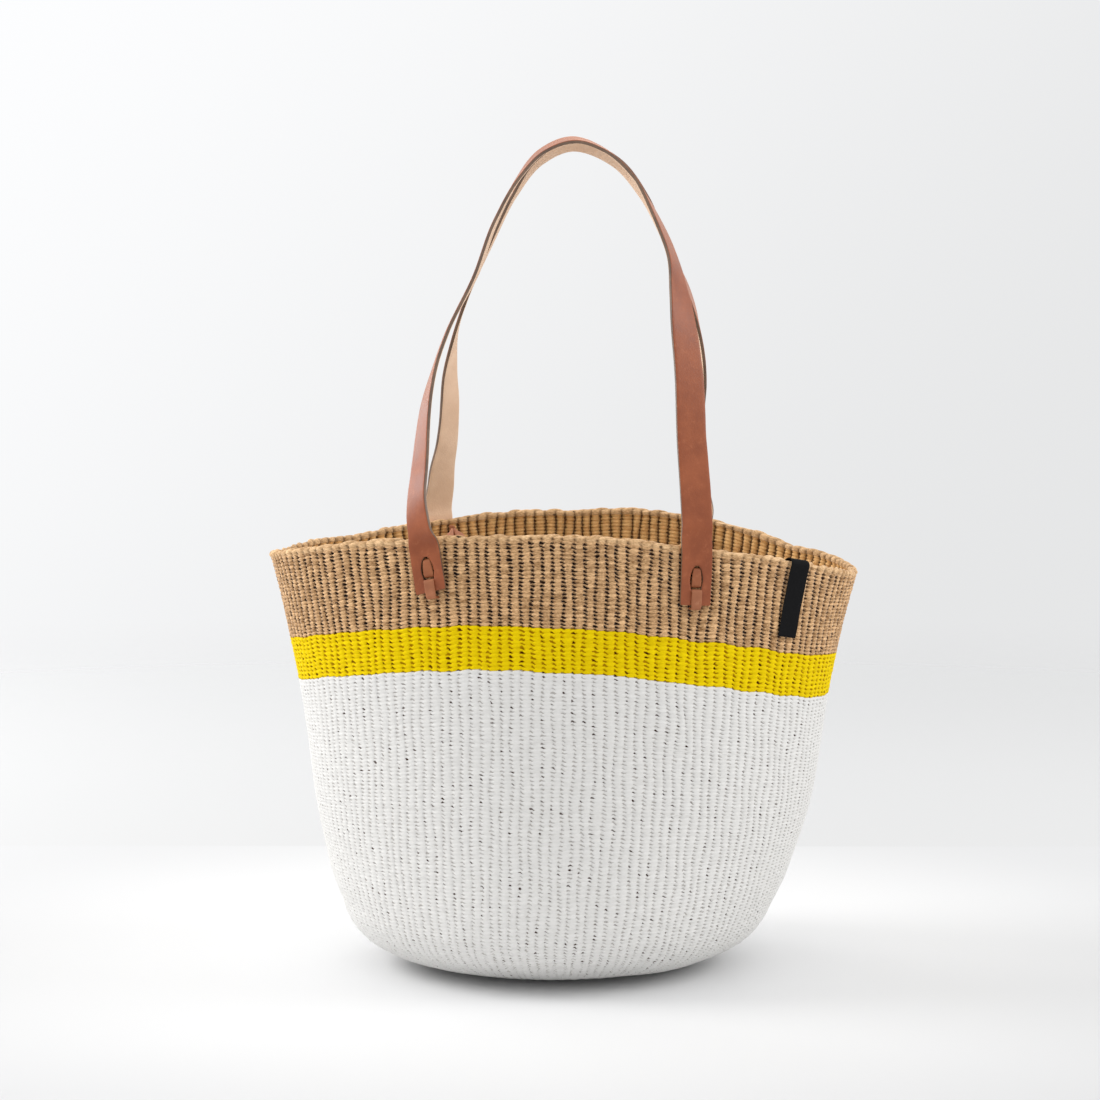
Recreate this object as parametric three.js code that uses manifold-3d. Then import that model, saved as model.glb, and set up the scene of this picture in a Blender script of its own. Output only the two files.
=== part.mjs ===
// A kiondo: a flat-bottomed oval basket of twined fibre in three bands of colour,
// with two leather carrying straps, each laced on at both ends with a leather lace.
// Lengths are in millimetres, +Z is up, -Y is the front and the origin is on the
// floor under the middle of the mouth.

import * as THREE from 'three';
import { mergeVertices } from 'three/addons/utils/BufferGeometryUtils.js';
import Module from 'manifold-3d';

const wasm = await Module();
wasm.setup();

// Woven body
const rimHalfWidth = 190;
const rimHalfDepth = 122;
const rimHeight = 283;
const rimDroop = 25;
const rimTilt = 4.5;
const rimSkew = 3;
const baseShift = 5;
const wallThickness = 5.5;
const baseRise = 5.5;
const yellowBandHeight = 27;
const tanBandHeight = 54.5;
const borderHeight = 4.4;
const borderOverhang = 0.8;
const seamClearance = 0.3;

// Leather straps
const strapWidth = 20;
const strapThickness = 2.4;
const strapEndDrop = 32;
const strapClearance = 0.3;
const slotLength = 15;
const slotPlay = 0.45;
const bridgeLength = 7;
const strapTopHeight = 529;
const strapTopSide = 7.2;
const strapTopSetback = 11.5;
const strapTopTilt = THREE.MathUtils.degToRad(13);
const foldRise = 2;
const foldGap = 0.4;
const foldMargin = 1;

// Laces, which are sewn through the wall in a running stitch and knotted inside
const laceWidth = 6.5;
const laceThickness = 1.6;
const laceClearance = 0.3;
const laceBend = 1.3;
const laceBarHeight = 1.9;
const laceOverhang = 3.4;
const knotWidth = 10;
const knotHeight = 8;
const knotDepth = 6.4;
const tailLength = 17;
const tailTopWidth = 4.5;
const tailTopSpread = 2;
const tailEndSpread = 6.6;

// Woven label, folded over the border
const labelWidth = 15;
const labelThickness = 0.6;
const labelInset = 44;
const labelOuterLength = 45;
const labelInnerLength = 24;
const labelClearance = 0.3;

// How far from the middle of the mouth each strap's cut end is tied
const frontLeftTie = 80.5;
const frontRightTie = 79.6;
const backLeftTie = 83;
const backRightTie = 92;

// Each tie, and how far its strap leans outwards
const ties = [
  { strap: 'front', side: 'left', endX: -frontLeftTie, lean: THREE.MathUtils.degToRad(10) },
  { strap: 'front', side: 'right', endX: frontRightTie, lean: THREE.MathUtils.degToRad(3.5) },
  { strap: 'back', side: 'left', endX: -backLeftTie, lean: THREE.MathUtils.degToRad(4) },
  { strap: 'back', side: 'right', endX: backRightTie, lean: THREE.MathUtils.degToRad(5) },
];

// Facets
const segmentsRound = 72;
const borderSides = 8;
const strapSteps = 56;
const archSteps = 10;
const bendSteps = 3;
const tailSteps = 4;
const knotSegments = 12;
const knotRings = 8;
const labelSteps = 3;
const probe = 0.01;

// The body's outline from the floor to the rim: shares of the rim's height, half
// width, half depth, droop and of the base's sideways shift
const profileShares = [
  [0, 0.342, 0.492, 0, 1],
  [0.0053, 0.421, 0.623, 0, 1],
  [0.0194, 0.532, 0.803, 0.008, 1],
  [0.0406, 0.605, 0.918, 0.02, 1],
  [0.0689, 0.668, 1.016, 0.03, 0.96],
  [0.106, 0.711, 1.082, 0.04, 0.9],
  [0.157, 0.742, 1.115, 0.1, 0.75],
  [0.212, 0.774, 1.118, 0.18, 0.6],
  [0.3, 0.808, 1.109, 0.32, 0.4],
  [0.371, 0.833, 1.102, 0.44, 0.24],
  [0.442, 0.852, 1.093, 0.56, 0.12],
  [0.583, 0.878, 1.074, 0.76, 0],
  [0.712, 0.904, 1.057, 0.904, 0],
  [0.807, 0.932, 1.041, 0.92, 0],
  [0.905, 0.963, 1.02, 0.96, 0],
  [1, 1, 1, 1, 0],
];

// Each strap leg from its fold to the top: shares of the climb, with the shares of
// the way out from the top, and with the shares of the quarter turn of its twist
const legs = {
  'front left': {
    outShares: [[0.1, 1.035], [0.2, 1.02], [0.35, 0.98], [0.5, 0.87], [0.65, 0.68], [0.78, 0.508],
      [0.9, 0.34], [0.97, 0.18]],
    twistShares: [[0, 0], [0.05, 0.3], [0.1, 0.52], [0.2, 0.68], [0.3, 0.81], [0.42, 0.95], [0.5, 1]],
  },
  'front right': {
    outShares: [[0.12, 0.99], [0.24, 0.967], [0.49, 0.924], [0.69, 0.843], [0.81, 0.68],
      [0.9, 0.515], [0.97, 0.28]],
    twistShares: [[0, 0], [0.36, 0.02], [0.49, 0.26], [0.595, 0.5], [0.686, 0.77], [0.746, 0.88],
      [0.812, 0.96], [0.88, 1]],
  },
  'back left': {
    outShares: [[0.1, 1.02], [0.3, 1], [0.45, 0.9], [0.6, 0.77], [0.75, 0.625], [0.87, 0.46],
      [0.96, 0.29]],
    twistShares: [[0, 0], [0.09, 0.2], [0.17, 0.32], [0.25, 0.46], [0.34, 0.6], [0.42, 0.75],
      [0.51, 0.97], [0.56, 1]],
  },
  'back right': {
    outShares: [[0.1, 0.97], [0.2, 0.93], [0.36, 0.886], [0.5, 0.852], [0.7, 0.755], [0.8, 0.625],
      [0.9, 0.455], [0.97, 0.25]],
    twistShares: [[0, 0], [0.3, 0.05], [0.45, 0.26], [0.58, 0.5], [0.68, 0.77], [0.75, 0.88],
      [0.82, 0.96], [0.88, 1]],
  },
};
const leanPower = 1.25;
const tiltShares = [[0, 0], [0.5, 0], [0.8, 1], [1, 1]];

// Finishes
const finishes = {
  white: { color: 0xe8e7e4, roughness: 0.9 },
  yellow: { color: 0xe8cc10, roughness: 0.9 },
  tan: { color: 0xc9a27a, roughness: 0.9 },
  border: { color: 0xe0c49a, roughness: 0.9 },
  strap: { color: 0xa8654c, roughness: 0.5 },
  lace: { color: 0xb4735a, roughness: 0.6 },
  label: { color: 0x161616, roughness: 0.85 },
};

// Reads a table of [place, value, ...] rows at any place, by a smooth curve
function reader(rows) {
  const places = rows.map((row) => row[0]);
  const values = rows.flatMap((row) => row.slice(1));
  const size = rows[0].length - 1;
  const curve = new THREE.CubicInterpolant(places, values, size, new Float64Array(size));
  return (place) => curve.evaluate(place);
}

// The woven body's surface
const readProfile = reader(profileShares);
const yellowTop = rimHeight - tanBandHeight;
const whiteTop = yellowTop - yellowBandHeight;

function wallPoint(angle, height) {
  const [width, depth, droop, shift] = readProfile(height / rimHeight);
  const side = Math.sin(angle);
  const dip = rimDroop * side * side + rimTilt * side + rimSkew * Math.sin(2 * angle);
  return new THREE.Vector3(
    rimHalfWidth * width * side - baseShift * shift,
    -rimHalfDepth * depth * Math.cos(angle),
    height - droop * dip,
  );
}

// Outward normal, upward direction and direction along the wall at a place on it
function wallFrame(angle, height) {
  const point = wallPoint(angle, height);
  const turn = probe / rimHalfWidth;
  const along = wallPoint(angle + turn, height).sub(wallPoint(angle - turn, height)).normalize();
  const up = wallPoint(angle, height + probe).sub(wallPoint(angle, height - probe)).normalize();
  const normal = along.clone().cross(up).normalize();
  return { point, along, up, normal };
}

function innerPoint(angle, height, depth) {
  if (height === 0) {
    return wallPoint(angle, height).add(new THREE.Vector3(0, 0, depth));
  }
  const { point, normal } = wallFrame(angle, height);
  return point.addScaledVector(normal, -depth);
}

// The angle at which the wall's surface passes a place to the side
function angleAtSide(x, height, strap) {
  const [width, , , shift] = readProfile(height / rimHeight);
  const angle = Math.asin((x + baseShift * shift) / (rimHalfWidth * width));
  return strap === 'front' ? angle : Math.PI - angle;
}

// The height that lies a short way up the profile from another
function stepUp(height, distance) {
  const slope = wallPoint(0, height + probe).distanceTo(wallPoint(0, height - probe)) / (2 * probe);
  return height + distance / slope;
}

// Joins rings of points into one closed surface with its faces outwards. A row of
// rings gets a flat cap at each end, and a loop of rings joins its last to its first
function skin(rings, isLoop) {
  const count = rings[0].length;
  const index = [];
  const spans = isLoop ? rings.length : rings.length - 1;
  for (let ring = 0; ring < spans; ring += 1) {
    const here = ring * count;
    const next = ((ring + 1) % rings.length) * count;
    for (let corner = 0; corner < count; corner += 1) {
      const beside = (corner + 1) % count;
      index.push(here + corner, here + beside, next + beside);
      index.push(here + corner, next + beside, next + corner);
    }
  }
  if (!isLoop) {
    const last = (rings.length - 1) * count;
    for (let corner = 1; corner < count - 1; corner += 1) {
      index.push(0, corner + 1, corner);
      index.push(last, last + corner, last + corner + 1);
    }
  }
  const geometry = new THREE.BufferGeometry().setFromPoints(rings.flat());
  geometry.setIndex(index);
  return outward(geometry);
}

// Turns every face round if the surface encloses a negative volume
function outward(geometry) {
  const corners = geometry.getAttribute('position');
  const index = Array.from(geometry.index.array);
  const [a, b, c] = [new THREE.Vector3(), new THREE.Vector3(), new THREE.Vector3()];
  let volume = 0;
  for (let face = 0; face < index.length; face += 3) {
    a.fromBufferAttribute(corners, index[face]);
    b.fromBufferAttribute(corners, index[face + 1]);
    c.fromBufferAttribute(corners, index[face + 2]);
    volume += a.dot(b.cross(c));
  }
  if (volume < 0) {
    geometry.setIndex(index.reverse());
  }
  return geometry;
}

function toSolid(geometry) {
  const bare = geometry.clone();
  bare.deleteAttribute('normal');
  bare.deleteAttribute('uv');
  const merged = mergeVertices(bare);
  return new wasm.Manifold(new wasm.Mesh({
    numProp: 3,
    vertProperties: new Float32Array(merged.getAttribute('position').array),
    triVerts: new Uint32Array(merged.index.array),
  }));
}

function toGeometry(solid) {
  const mesh = solid.getMesh();
  const geometry = new THREE.BufferGeometry();
  geometry.setAttribute('position', new THREE.BufferAttribute(mesh.vertProperties, 3));
  geometry.setIndex(new THREE.BufferAttribute(mesh.triVerts, 1));
  return geometry;
}

// Rectangular cross-section of a flat strip, centred on a point
function stripRing(centre, across, through, width, thickness) {
  return [[-1, -1], [1, -1], [1, 1], [-1, 1]].map(([side, face]) => centre.clone()
    .addScaledVector(across, side * width / 2)
    .addScaledVector(through, face * thickness / 2));
}

// One band of the wall between two heights, as a closed ring
function wallBand(low, high) {
  const between = profileShares.map(([share]) => share * rimHeight)
    .filter((height) => height > low + wallThickness / 2 && height < high - wallThickness / 2);
  const heights = [low, ...between, high];
  const sections = [];
  for (let step = 0; step < segmentsRound; step += 1) {
    const angle = 2 * Math.PI * step / segmentsRound;
    const outer = heights.map((height) => wallPoint(angle, height));
    const inner = heights.map((height) => innerPoint(angle, height, wallThickness));
    sections.push([...outer, ...inner.reverse()]);
  }
  return skin(sections, true);
}

// The round start of the weave: a plate with a flat foot and a turned-up edge
function baseDisc() {
  const below = profileShares.map(([share]) => share * rimHeight).filter((height) => height < baseRise);
  const heights = [...below, baseRise];
  const ringAt = (height, depth) => Array.from({ length: segmentsRound }, (_, step) => {
    const angle = 2 * Math.PI * step / segmentsRound;
    return depth === 0 ? wallPoint(angle, height) : innerPoint(angle, height, depth);
  });
  const outer = heights.map((height) => ringAt(height, 0));
  const inner = heights.map((height) => ringAt(height, wallThickness));
  return skin([...outer, ...inner.reverse()], false);
}

// The rolled border, flush with the wall outside and a little proud inside
const borderHalfWidth = (wallThickness + borderOverhang) / 2;
const borderMiddle = rimHeight - borderHeight / 2;

function rimBorder() {
  const sections = [];
  for (let step = 0; step < segmentsRound; step += 1) {
    const angle = 2 * Math.PI * step / segmentsRound;
    const { point, up, normal } = wallFrame(angle, borderMiddle);
    const centre = point.addScaledVector(normal, -borderHalfWidth);
    const section = [];
    for (let side = 0; side < borderSides; side += 1) {
      const turn = 2 * Math.PI * (side + 1 / 2) / borderSides;
      section.push(centre.clone()
        .addScaledVector(normal, borderHalfWidth * Math.cos(turn))
        .addScaledVector(up, borderHeight / 2 * Math.sin(turn)));
    }
    sections.push(section);
  }
  return skin(sections, true);
}

// The frame of a tie, flat against the wall: its origin is on the wall's surface at
// the middle of the strap's cut end
function tieFrame({ strap, side, endX, lean }) {
  const endHeight = rimHeight - strapEndDrop;
  const angle = angleAtSide(endX, endHeight, strap);
  const { normal } = wallFrame(angle, endHeight + strapEndDrop / 2);
  const isLeftOfNormal = (side === 'left') === (strap === 'front');
  const climb = new THREE.Vector3(0, 0, 1).projectOnPlane(normal).normalize()
    .applyAxisAngle(normal, isLeftOfNormal ? lean : -lean);
  const across = climb.clone().cross(normal).normalize();
  const origin = wallPoint(angle, endHeight);
  const rimZ = wallPoint(angle, rimHeight).z;
  return { strap, side, origin, across, climb, normal, rimZ };
}

const tieFrames = ties.map(tieFrame);

// The line about which each strap folds, parallel to the mouth's long axis, and the
// length of the strap's two laced ends up to it
const strapMiddle = strapClearance + strapThickness / 2;

function foldOf(strap) {
  const own = tieFrames.filter((tie) => tie.strap === strap);
  const z = Math.max(...own.map((tie) => tie.rimZ)) + foldRise;
  const outwards = strap === 'front' ? -1 : 1;
  const reaches = own.map((tie) => {
    const climb = (z - tie.origin.z) / tie.climb.z;
    const top = tie.origin.clone().addScaledVector(tie.climb, climb);
    const outer = top.addScaledVector(tie.normal, strapClearance + strapThickness);
    return outer.y * outwards + Math.abs(tie.across.y) * strapWidth / 2;
  });
  return { y: outwards * (Math.max(...reaches) + foldMargin), z };
}

const folds = { front: foldOf('front'), back: foldOf('back') };

function endLength(tie) {
  return (folds[tie.strap].z - tie.origin.z) / tie.climb.z - foldGap / 2;
}

function tieMatrix(tie) {
  return new THREE.Matrix4()
    .makeBasis(tie.across, tie.climb, tie.normal)
    .setPosition(tie.origin);
}

// A strap's laced end: flat on the wall, with a long arched slot for its lace
const slotWidth = laceWidth + 2 * slotPlay;
const slotArchStart = bridgeLength + slotLength - slotWidth / 2;

function strapEnd(tie) {
  const outline = new THREE.Shape();
  outline.moveTo(-strapWidth / 2, 0);
  outline.lineTo(strapWidth / 2, 0);
  outline.lineTo(strapWidth / 2, endLength(tie));
  outline.lineTo(-strapWidth / 2, endLength(tie));
  outline.closePath();
  const slot = new THREE.Path();
  slot.moveTo(-slotWidth / 2, bridgeLength);
  slot.lineTo(slotWidth / 2, bridgeLength);
  slot.lineTo(slotWidth / 2, slotArchStart);
  slot.absarc(0, slotArchStart, slotWidth / 2, 0, Math.PI);
  slot.closePath();
  outline.holes.push(slot);
  const geometry = new THREE.ExtrudeGeometry(outline, {
    depth: strapThickness,
    bevelEnabled: false,
    curveSegments: archSteps,
  });
  geometry.translate(0, 0, strapClearance);
  geometry.applyMatrix4(tieMatrix(tie));
  return geometry;
}

// The carrying loop of a strap, between its two folds. It turns a quarter turn about
// its own length in each leg, so that it lies flat in the hand at the top
function strapLoop(strap) {
  const outwards = strap === 'front' ? -1 : 1;
  const top = new THREE.Vector3(strapTopSide, outwards * strapTopSetback, strapTopHeight);
  const [left, right] = ['left', 'right'].map((side) => {
    const tie = tieFrames.find((each) => each.strap === strap && each.side === side);
    const start = tie.origin.clone()
      .addScaledVector(tie.normal, strapMiddle)
      .addScaledVector(tie.climb, endLength(tie) + foldGap);
    const { outShares, twistShares } = legs[`${strap} ${side}`];
    const points = outShares.map(([climb, out]) => new THREE.Vector3(
      top.x + (start.x - top.x) * out,
      start.y + (top.y - start.y) * climb ** leanPower,
      start.z + (top.z - start.z) * climb,
    ));
    const straight = start.clone().addScaledVector(tie.climb, strapWidth / 4);
    return { tie, start, points: [start, straight, ...points], readTwist: reader(twistShares) };
  });
  const path = new THREE.CatmullRomCurve3([...left.points, top, ...right.points.reverse()]);
  const readTilt = reader(tiltShares);
  const rings = [];
  for (let step = 0; step <= strapSteps; step += 1) {
    const share = step / strapSteps;
    const centre = path.getPointAt(share);
    const tangent = path.getTangentAt(share);
    const leg = centre.x < top.x ? left : right;
    const climb = THREE.MathUtils.clamp((centre.z - leg.start.z) / (top.z - leg.start.z), 0, 1);
    const inwards = leg === left ? 1 : -1;
    const across = leg.tie.across.clone().multiplyScalar(Math.sign(leg.tie.across.x) * inwards);
    const tieTurn = Math.atan2(across.y * outwards, across.x * inwards);
    const twist = THREE.MathUtils.clamp(leg.readTwist(climb)[0], 0, 1);
    const turn = THREE.MathUtils.lerp(tieTurn, Math.PI / 2, twist);
    const guide = new THREE.Vector3(inwards * Math.cos(turn), outwards * Math.sin(turn), 0);
    const width = step === 0 || step === strapSteps ? across : guide.projectOnPlane(tangent).normalize();
    const through = width.clone().cross(tangent).multiplyScalar(-outwards).normalize();
    const tilt = strapTopTilt * THREE.MathUtils.clamp(readTilt(climb)[0], 0, 1);
    const [cos, sin] = [Math.cos(tilt), Math.sin(tilt)];
    const tiltedWidth = width.clone().multiplyScalar(cos).addScaledVector(through, sin);
    const tiltedThrough = through.clone().multiplyScalar(cos).addScaledVector(width, -sin);
    rings.push(stripRing(centre, tiltedWidth, tiltedThrough, strapWidth, strapThickness));
  }
  return skin(rings, false);
}

// Places of a lace in its tie's frame: heights above the strap's cut end, and depths
// outwards from the wall's surface
const halfLace = laceThickness / 2;
const laceInSlot = laceClearance + halfLace;
const laceOverBridge = strapClearance + strapThickness + laceClearance + halfLace;
const laceInside = -(wallThickness + laceClearance + halfLace);
const laceReturn = laceInside - laceThickness - laceClearance;
const tailDepth = laceReturn - laceThickness - laceClearance;
const upperHole = slotArchStart;
const lowerSlotHole = bridgeLength + laceClearance + halfLace;
const upperSlotHole = lowerSlotHole + laceThickness + laceBarHeight;
const endHole = -(laceOverhang - halfLace);
const knotPlace = { height: upperHole + laceThickness / 2, depth: laceReturn - laceClearance };

// A running stitch seen from the side: out at the top hole, down the slot, in and out
// round one row of weave, down over the bridge, in below the strap and up to the knot
const stitchPlaces = [
  [knotPlace.depth, upperHole],
  [laceInSlot, upperHole],
  [laceInSlot, upperSlotHole],
  [laceInside, upperSlotHole],
  [laceInside, lowerSlotHole],
  [laceOverBridge, lowerSlotHole],
  [laceOverBridge, endHole],
  [laceReturn, endHole],
  [laceReturn, upperHole],
];

function stitchPath() {
  const places = stitchPlaces.map(([depth, height]) => new THREE.Vector2(depth, height));
  const path = new THREE.Path();
  path.moveTo(places[0].x, places[0].y);
  for (let corner = 1; corner < places.length - 1; corner += 1) {
    const here = places[corner];
    const before = here.clone().add(places[corner - 1].clone().sub(here).setLength(laceBend));
    const after = here.clone().add(places[corner + 1].clone().sub(here).setLength(laceBend));
    path.lineTo(before.x, before.y);
    path.quadraticCurveTo(here.x, here.y, after.x, after.y);
  }
  const last = places[places.length - 1];
  path.lineTo(last.x, last.y);
  return path.getPoints(bendSteps);
}

function stitches() {
  const across = new THREE.Vector3(1, 0, 0);
  const points = stitchPath();
  const rings = points.map((point, step) => {
    const before = points[Math.max(step - 1, 0)];
    const after = points[Math.min(step + 1, points.length - 1)];
    const run = after.clone().sub(before).normalize();
    const through = new THREE.Vector3(0, -run.x, run.y);
    return stripRing(new THREE.Vector3(0, point.y, point.x), across, through, laceWidth, laceThickness);
  });
  return skin(rings, false);
}

// A lace's free tail, hanging from the knot and spreading to one side
function laceTail(side) {
  const across = new THREE.Vector3(1, 0, 0);
  const through = new THREE.Vector3(0, 0, 1);
  const rings = [];
  for (let step = 0; step <= tailSteps; step += 1) {
    const share = step / tailSteps;
    const spread = side * THREE.MathUtils.lerp(tailTopSpread, tailEndSpread, share);
    const width = THREE.MathUtils.lerp(tailTopWidth, laceWidth, share);
    const centre = new THREE.Vector3(spread, knotPlace.height - tailLength * share, tailDepth);
    rings.push(stripRing(centre, across, through, width, laceThickness));
  }
  return skin(rings, false);
}

function lace(tie) {
  const knot = new THREE.SphereGeometry(1, knotSegments, knotRings);
  knot.scale(knotWidth / 2, knotHeight / 2, knotDepth / 2);
  const knotCentre = -(wallThickness + laceClearance + knotDepth / 2);
  knot.translate(0, knotPlace.height, knotCentre);
  const solid = toSolid(stitches())
    .add(toSolid(knot))
    .add(toSolid(laceTail(-1)))
    .add(toSolid(laceTail(1)));
  return toGeometry(solid).applyMatrix4(tieMatrix(tie));
}

// The holes that the laces are pushed through
function punchWall(band) {
  let solid = toSolid(band);
  const depth = 2 * wallThickness;
  for (const tie of tieFrames) {
    for (const height of [upperHole, upperSlotHole, lowerSlotHole, endHole]) {
      const hole = new THREE.BoxGeometry(
        laceWidth + 2 * laceClearance,
        laceThickness + 2 * laceClearance,
        2 * depth,
      );
      hole.translate(0, height, -wallThickness / 2);
      hole.applyMatrix4(tieMatrix(tie));
      solid = solid.subtract(toSolid(hole));
    }
  }
  return toGeometry(solid);
}

// The label, up the outside of the wall, over the border and down the inside
function labelStrip() {
  const angle = angleAtSide(rimHalfWidth - labelInset, rimHeight, 'front');
  const offset = labelClearance + labelThickness / 2;
  const turnRadius = borderHalfWidth + offset;
  const legRings = (length, depth, facing) => Array.from({ length: labelSteps + 1 }, (_, step) => {
    const drop = (length - borderHeight / 2) * step / labelSteps;
    const { point, along, normal } = wallFrame(angle, borderMiddle - drop);
    const through = normal.clone().multiplyScalar(facing);
    return stripRing(point.addScaledVector(normal, depth), along, through, labelWidth, labelThickness);
  });
  const outer = legRings(labelOuterLength, offset, 1).reverse();
  const inner = legRings(labelInnerLength, offset - 2 * turnRadius, -1);
  const { point, along, up, normal } = wallFrame(angle, borderMiddle);
  const centre = point.addScaledVector(normal, -borderHalfWidth);
  const over = [];
  for (let step = 1; step < 2 * bendSteps; step += 1) {
    const turn = Math.PI * step / (2 * bendSteps);
    const through = normal.clone().multiplyScalar(Math.cos(turn)).addScaledVector(up, Math.sin(turn));
    const middle = centre.clone().addScaledVector(through, turnRadius);
    over.push(stripRing(middle, along, through, labelWidth, labelThickness));
  }
  return skin([...outer, ...over, ...inner], false);
}

const basket = new THREE.Group();

function place(name, geometry, look) {
  const mesh = new THREE.Mesh(geometry, new THREE.MeshStandardMaterial(finishes[look]));
  mesh.name = name;
  basket.add(mesh);
}

const wallStart = stepUp(baseRise, seamClearance);
const tanTop = rimHeight - borderHeight - seamClearance;
place('base_disc', baseDisc(), 'white');
place('white_wall', wallBand(wallStart, whiteTop), 'white');
place('yellow_band', wallBand(whiteTop + seamClearance, yellowTop), 'yellow');
place('tan_band', punchWall(wallBand(yellowTop + seamClearance, tanTop)), 'tan');
place('rim_border', rimBorder(), 'border');
for (const tie of tieFrames) {
  place(`${tie.strap}_strap_${tie.side}_end`, strapEnd(tie), 'strap');
  place(`${tie.strap}_${tie.side}_lace`, lace(tie), 'lace');
}
place('front_strap_loop', strapLoop('front'), 'strap');
place('back_strap_loop', strapLoop('back'), 'strap');
place('label', labelStrip(), 'label');

basket.userData.folds = folds;

export default basket;
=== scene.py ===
"""A kiondo basket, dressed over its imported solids.

The body is twined round upright warps in a white, a yellow and a tan band and ends
in a rolled border. Two long leather straps are laced to it, and a plain label is
folded over the border. Lengths are in metres, +Z is up and -Y is the front.
"""

import logging
import math
from collections.abc import Callable
from dataclasses import dataclass, field
from enum import Enum

import bmesh
import bpy
import numpy as np
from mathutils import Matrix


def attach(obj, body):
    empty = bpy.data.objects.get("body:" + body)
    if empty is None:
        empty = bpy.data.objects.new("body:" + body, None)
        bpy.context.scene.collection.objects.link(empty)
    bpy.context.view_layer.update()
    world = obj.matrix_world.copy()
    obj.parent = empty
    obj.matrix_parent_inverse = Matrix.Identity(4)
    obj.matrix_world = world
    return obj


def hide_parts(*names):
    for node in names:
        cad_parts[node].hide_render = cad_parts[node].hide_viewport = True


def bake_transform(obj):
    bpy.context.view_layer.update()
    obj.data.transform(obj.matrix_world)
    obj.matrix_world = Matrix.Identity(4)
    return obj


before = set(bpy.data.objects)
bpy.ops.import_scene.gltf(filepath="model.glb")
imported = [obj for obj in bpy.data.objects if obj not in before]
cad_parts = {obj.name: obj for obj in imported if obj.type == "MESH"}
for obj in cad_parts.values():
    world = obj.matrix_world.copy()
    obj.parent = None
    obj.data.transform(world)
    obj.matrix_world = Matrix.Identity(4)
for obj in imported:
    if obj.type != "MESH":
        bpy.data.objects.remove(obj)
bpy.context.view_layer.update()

log = logging.getLogger("kiondo")

Array = np.ndarray
Socket = bpy.types.NodeSocket
Node = bpy.types.Node
NodeTree = bpy.types.NodeTree
Material = bpy.types.Material
Thing = bpy.types.Object
Colour = tuple[float, float, float]

TURN = 2 * math.pi
UP = np.array([0.0, 0.0, 1.0])


class Zone(Enum):
    """The coloured bands of the weave."""

    WHITE = "white"
    YELLOW = "yellow"
    TAN = "tan"


class Face(Enum):
    """The sides of a strip of leather, in the order of its material slots."""

    GRAIN = 0
    FLESH = 1
    EDGE = 2


class LaceLook(Enum):
    """The finishes of a lace, in the order of its material slots."""

    # The first look is the darker one in the slot, painted shade of the slot's recess.
    GRAIN = 0
    FLESH = 1
    TAIL = 2


# Numbers and vectors


def unit(vectors: Array) -> Array:
    """Scales vectors to length one.

    Args:
        vectors: vectors along the last axis.

    Returns:
        The same directions with length one.
    """
    length = np.linalg.norm(vectors, axis=-1, keepdims=True)
    return vectors / np.maximum(length, 1e-12)


def turned(vectors: Array, axis: Array, angle: Array | float) -> Array:
    """Turns vectors about an axis: v cos a + (k x v) sin a + k (k.v)(1 - cos a).

    Args:
        vectors: vectors along the last axis.
        axis: the unit axis k, or one axis a vector.
        angle: the angle a in radians, right-handed about the axis.

    Returns:
        The turned vectors.
    """
    cos, sin = np.cos(angle)[..., None], np.sin(angle)[..., None]
    along = np.sum(vectors * axis, -1, keepdims=True)
    return vectors * cos + np.cross(axis, vectors) * sin + axis * along * (1 - cos)


def distances(points: Array) -> Array:
    """Gives the distance along a line of points, from its start."""
    steps = np.linalg.norm(np.diff(points, axis=0), axis=-1)
    return np.concatenate([[0.0], np.cumsum(steps)])


def smooth_step(value: Array, low: float, high: float) -> Array:
    """Eases from 0 at low to 1 at high by 3t^2 - 2t^3.

    Args:
        value: where to read the step.
        low: where it starts.
        high: where it ends.

    Returns:
        The share of the step, from 0 to 1.
    """
    share = np.clip((value - low) / (high - low), 0, 1)
    return share * share * (3 - 2 * share)


@dataclass(frozen=True)
class Table:
    """A table of [place, value, ...] rows that is read by a smooth curve.

    Between two rows the curve is a cubic whose slope at each row is that of its
    neighbours, as in the solids' own tables.
    """

    rows: tuple[tuple[float, ...], ...]

    def read(self, places: Array) -> Array:
        """Reads every value column at the given places.

        Args:
            places: where to read, of any shape.

        Returns:
            The values, with one more axis for the columns.
        """
        rows = np.array(self.rows)
        at, values = rows[:, 0], rows[:, 1:]
        last = len(at) - 1
        high = np.clip(np.searchsorted(at, places, side="right"), 1, last)
        low = high - 1
        before = np.where(low > 0, low - 1, high)
        after = np.where(high < last, high + 1, low)
        span = at[high] - at[low]
        pull_low = 0.5 * span / (at[low] - at[before])
        pull_high = 0.5 * span / (at[after] - at[high])
        share = np.clip((places - at[low]) / span, 0, 1)
        square, cube = share**2, share**3
        weights = (
            -pull_low * cube + 2 * pull_low * square - pull_low * share,
            (1 + pull_low) * cube + (-1.5 - 2 * pull_low) * square + (pull_low - 0.5) * share + 1,
            (-1 - pull_high) * cube + (1.5 + pull_high) * square + 0.5 * share,
            pull_high * cube - pull_high * square,
        )
        corners = (before, low, high, after)
        return sum(w[..., None] * values[c] for w, c in zip(weights, corners))


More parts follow.
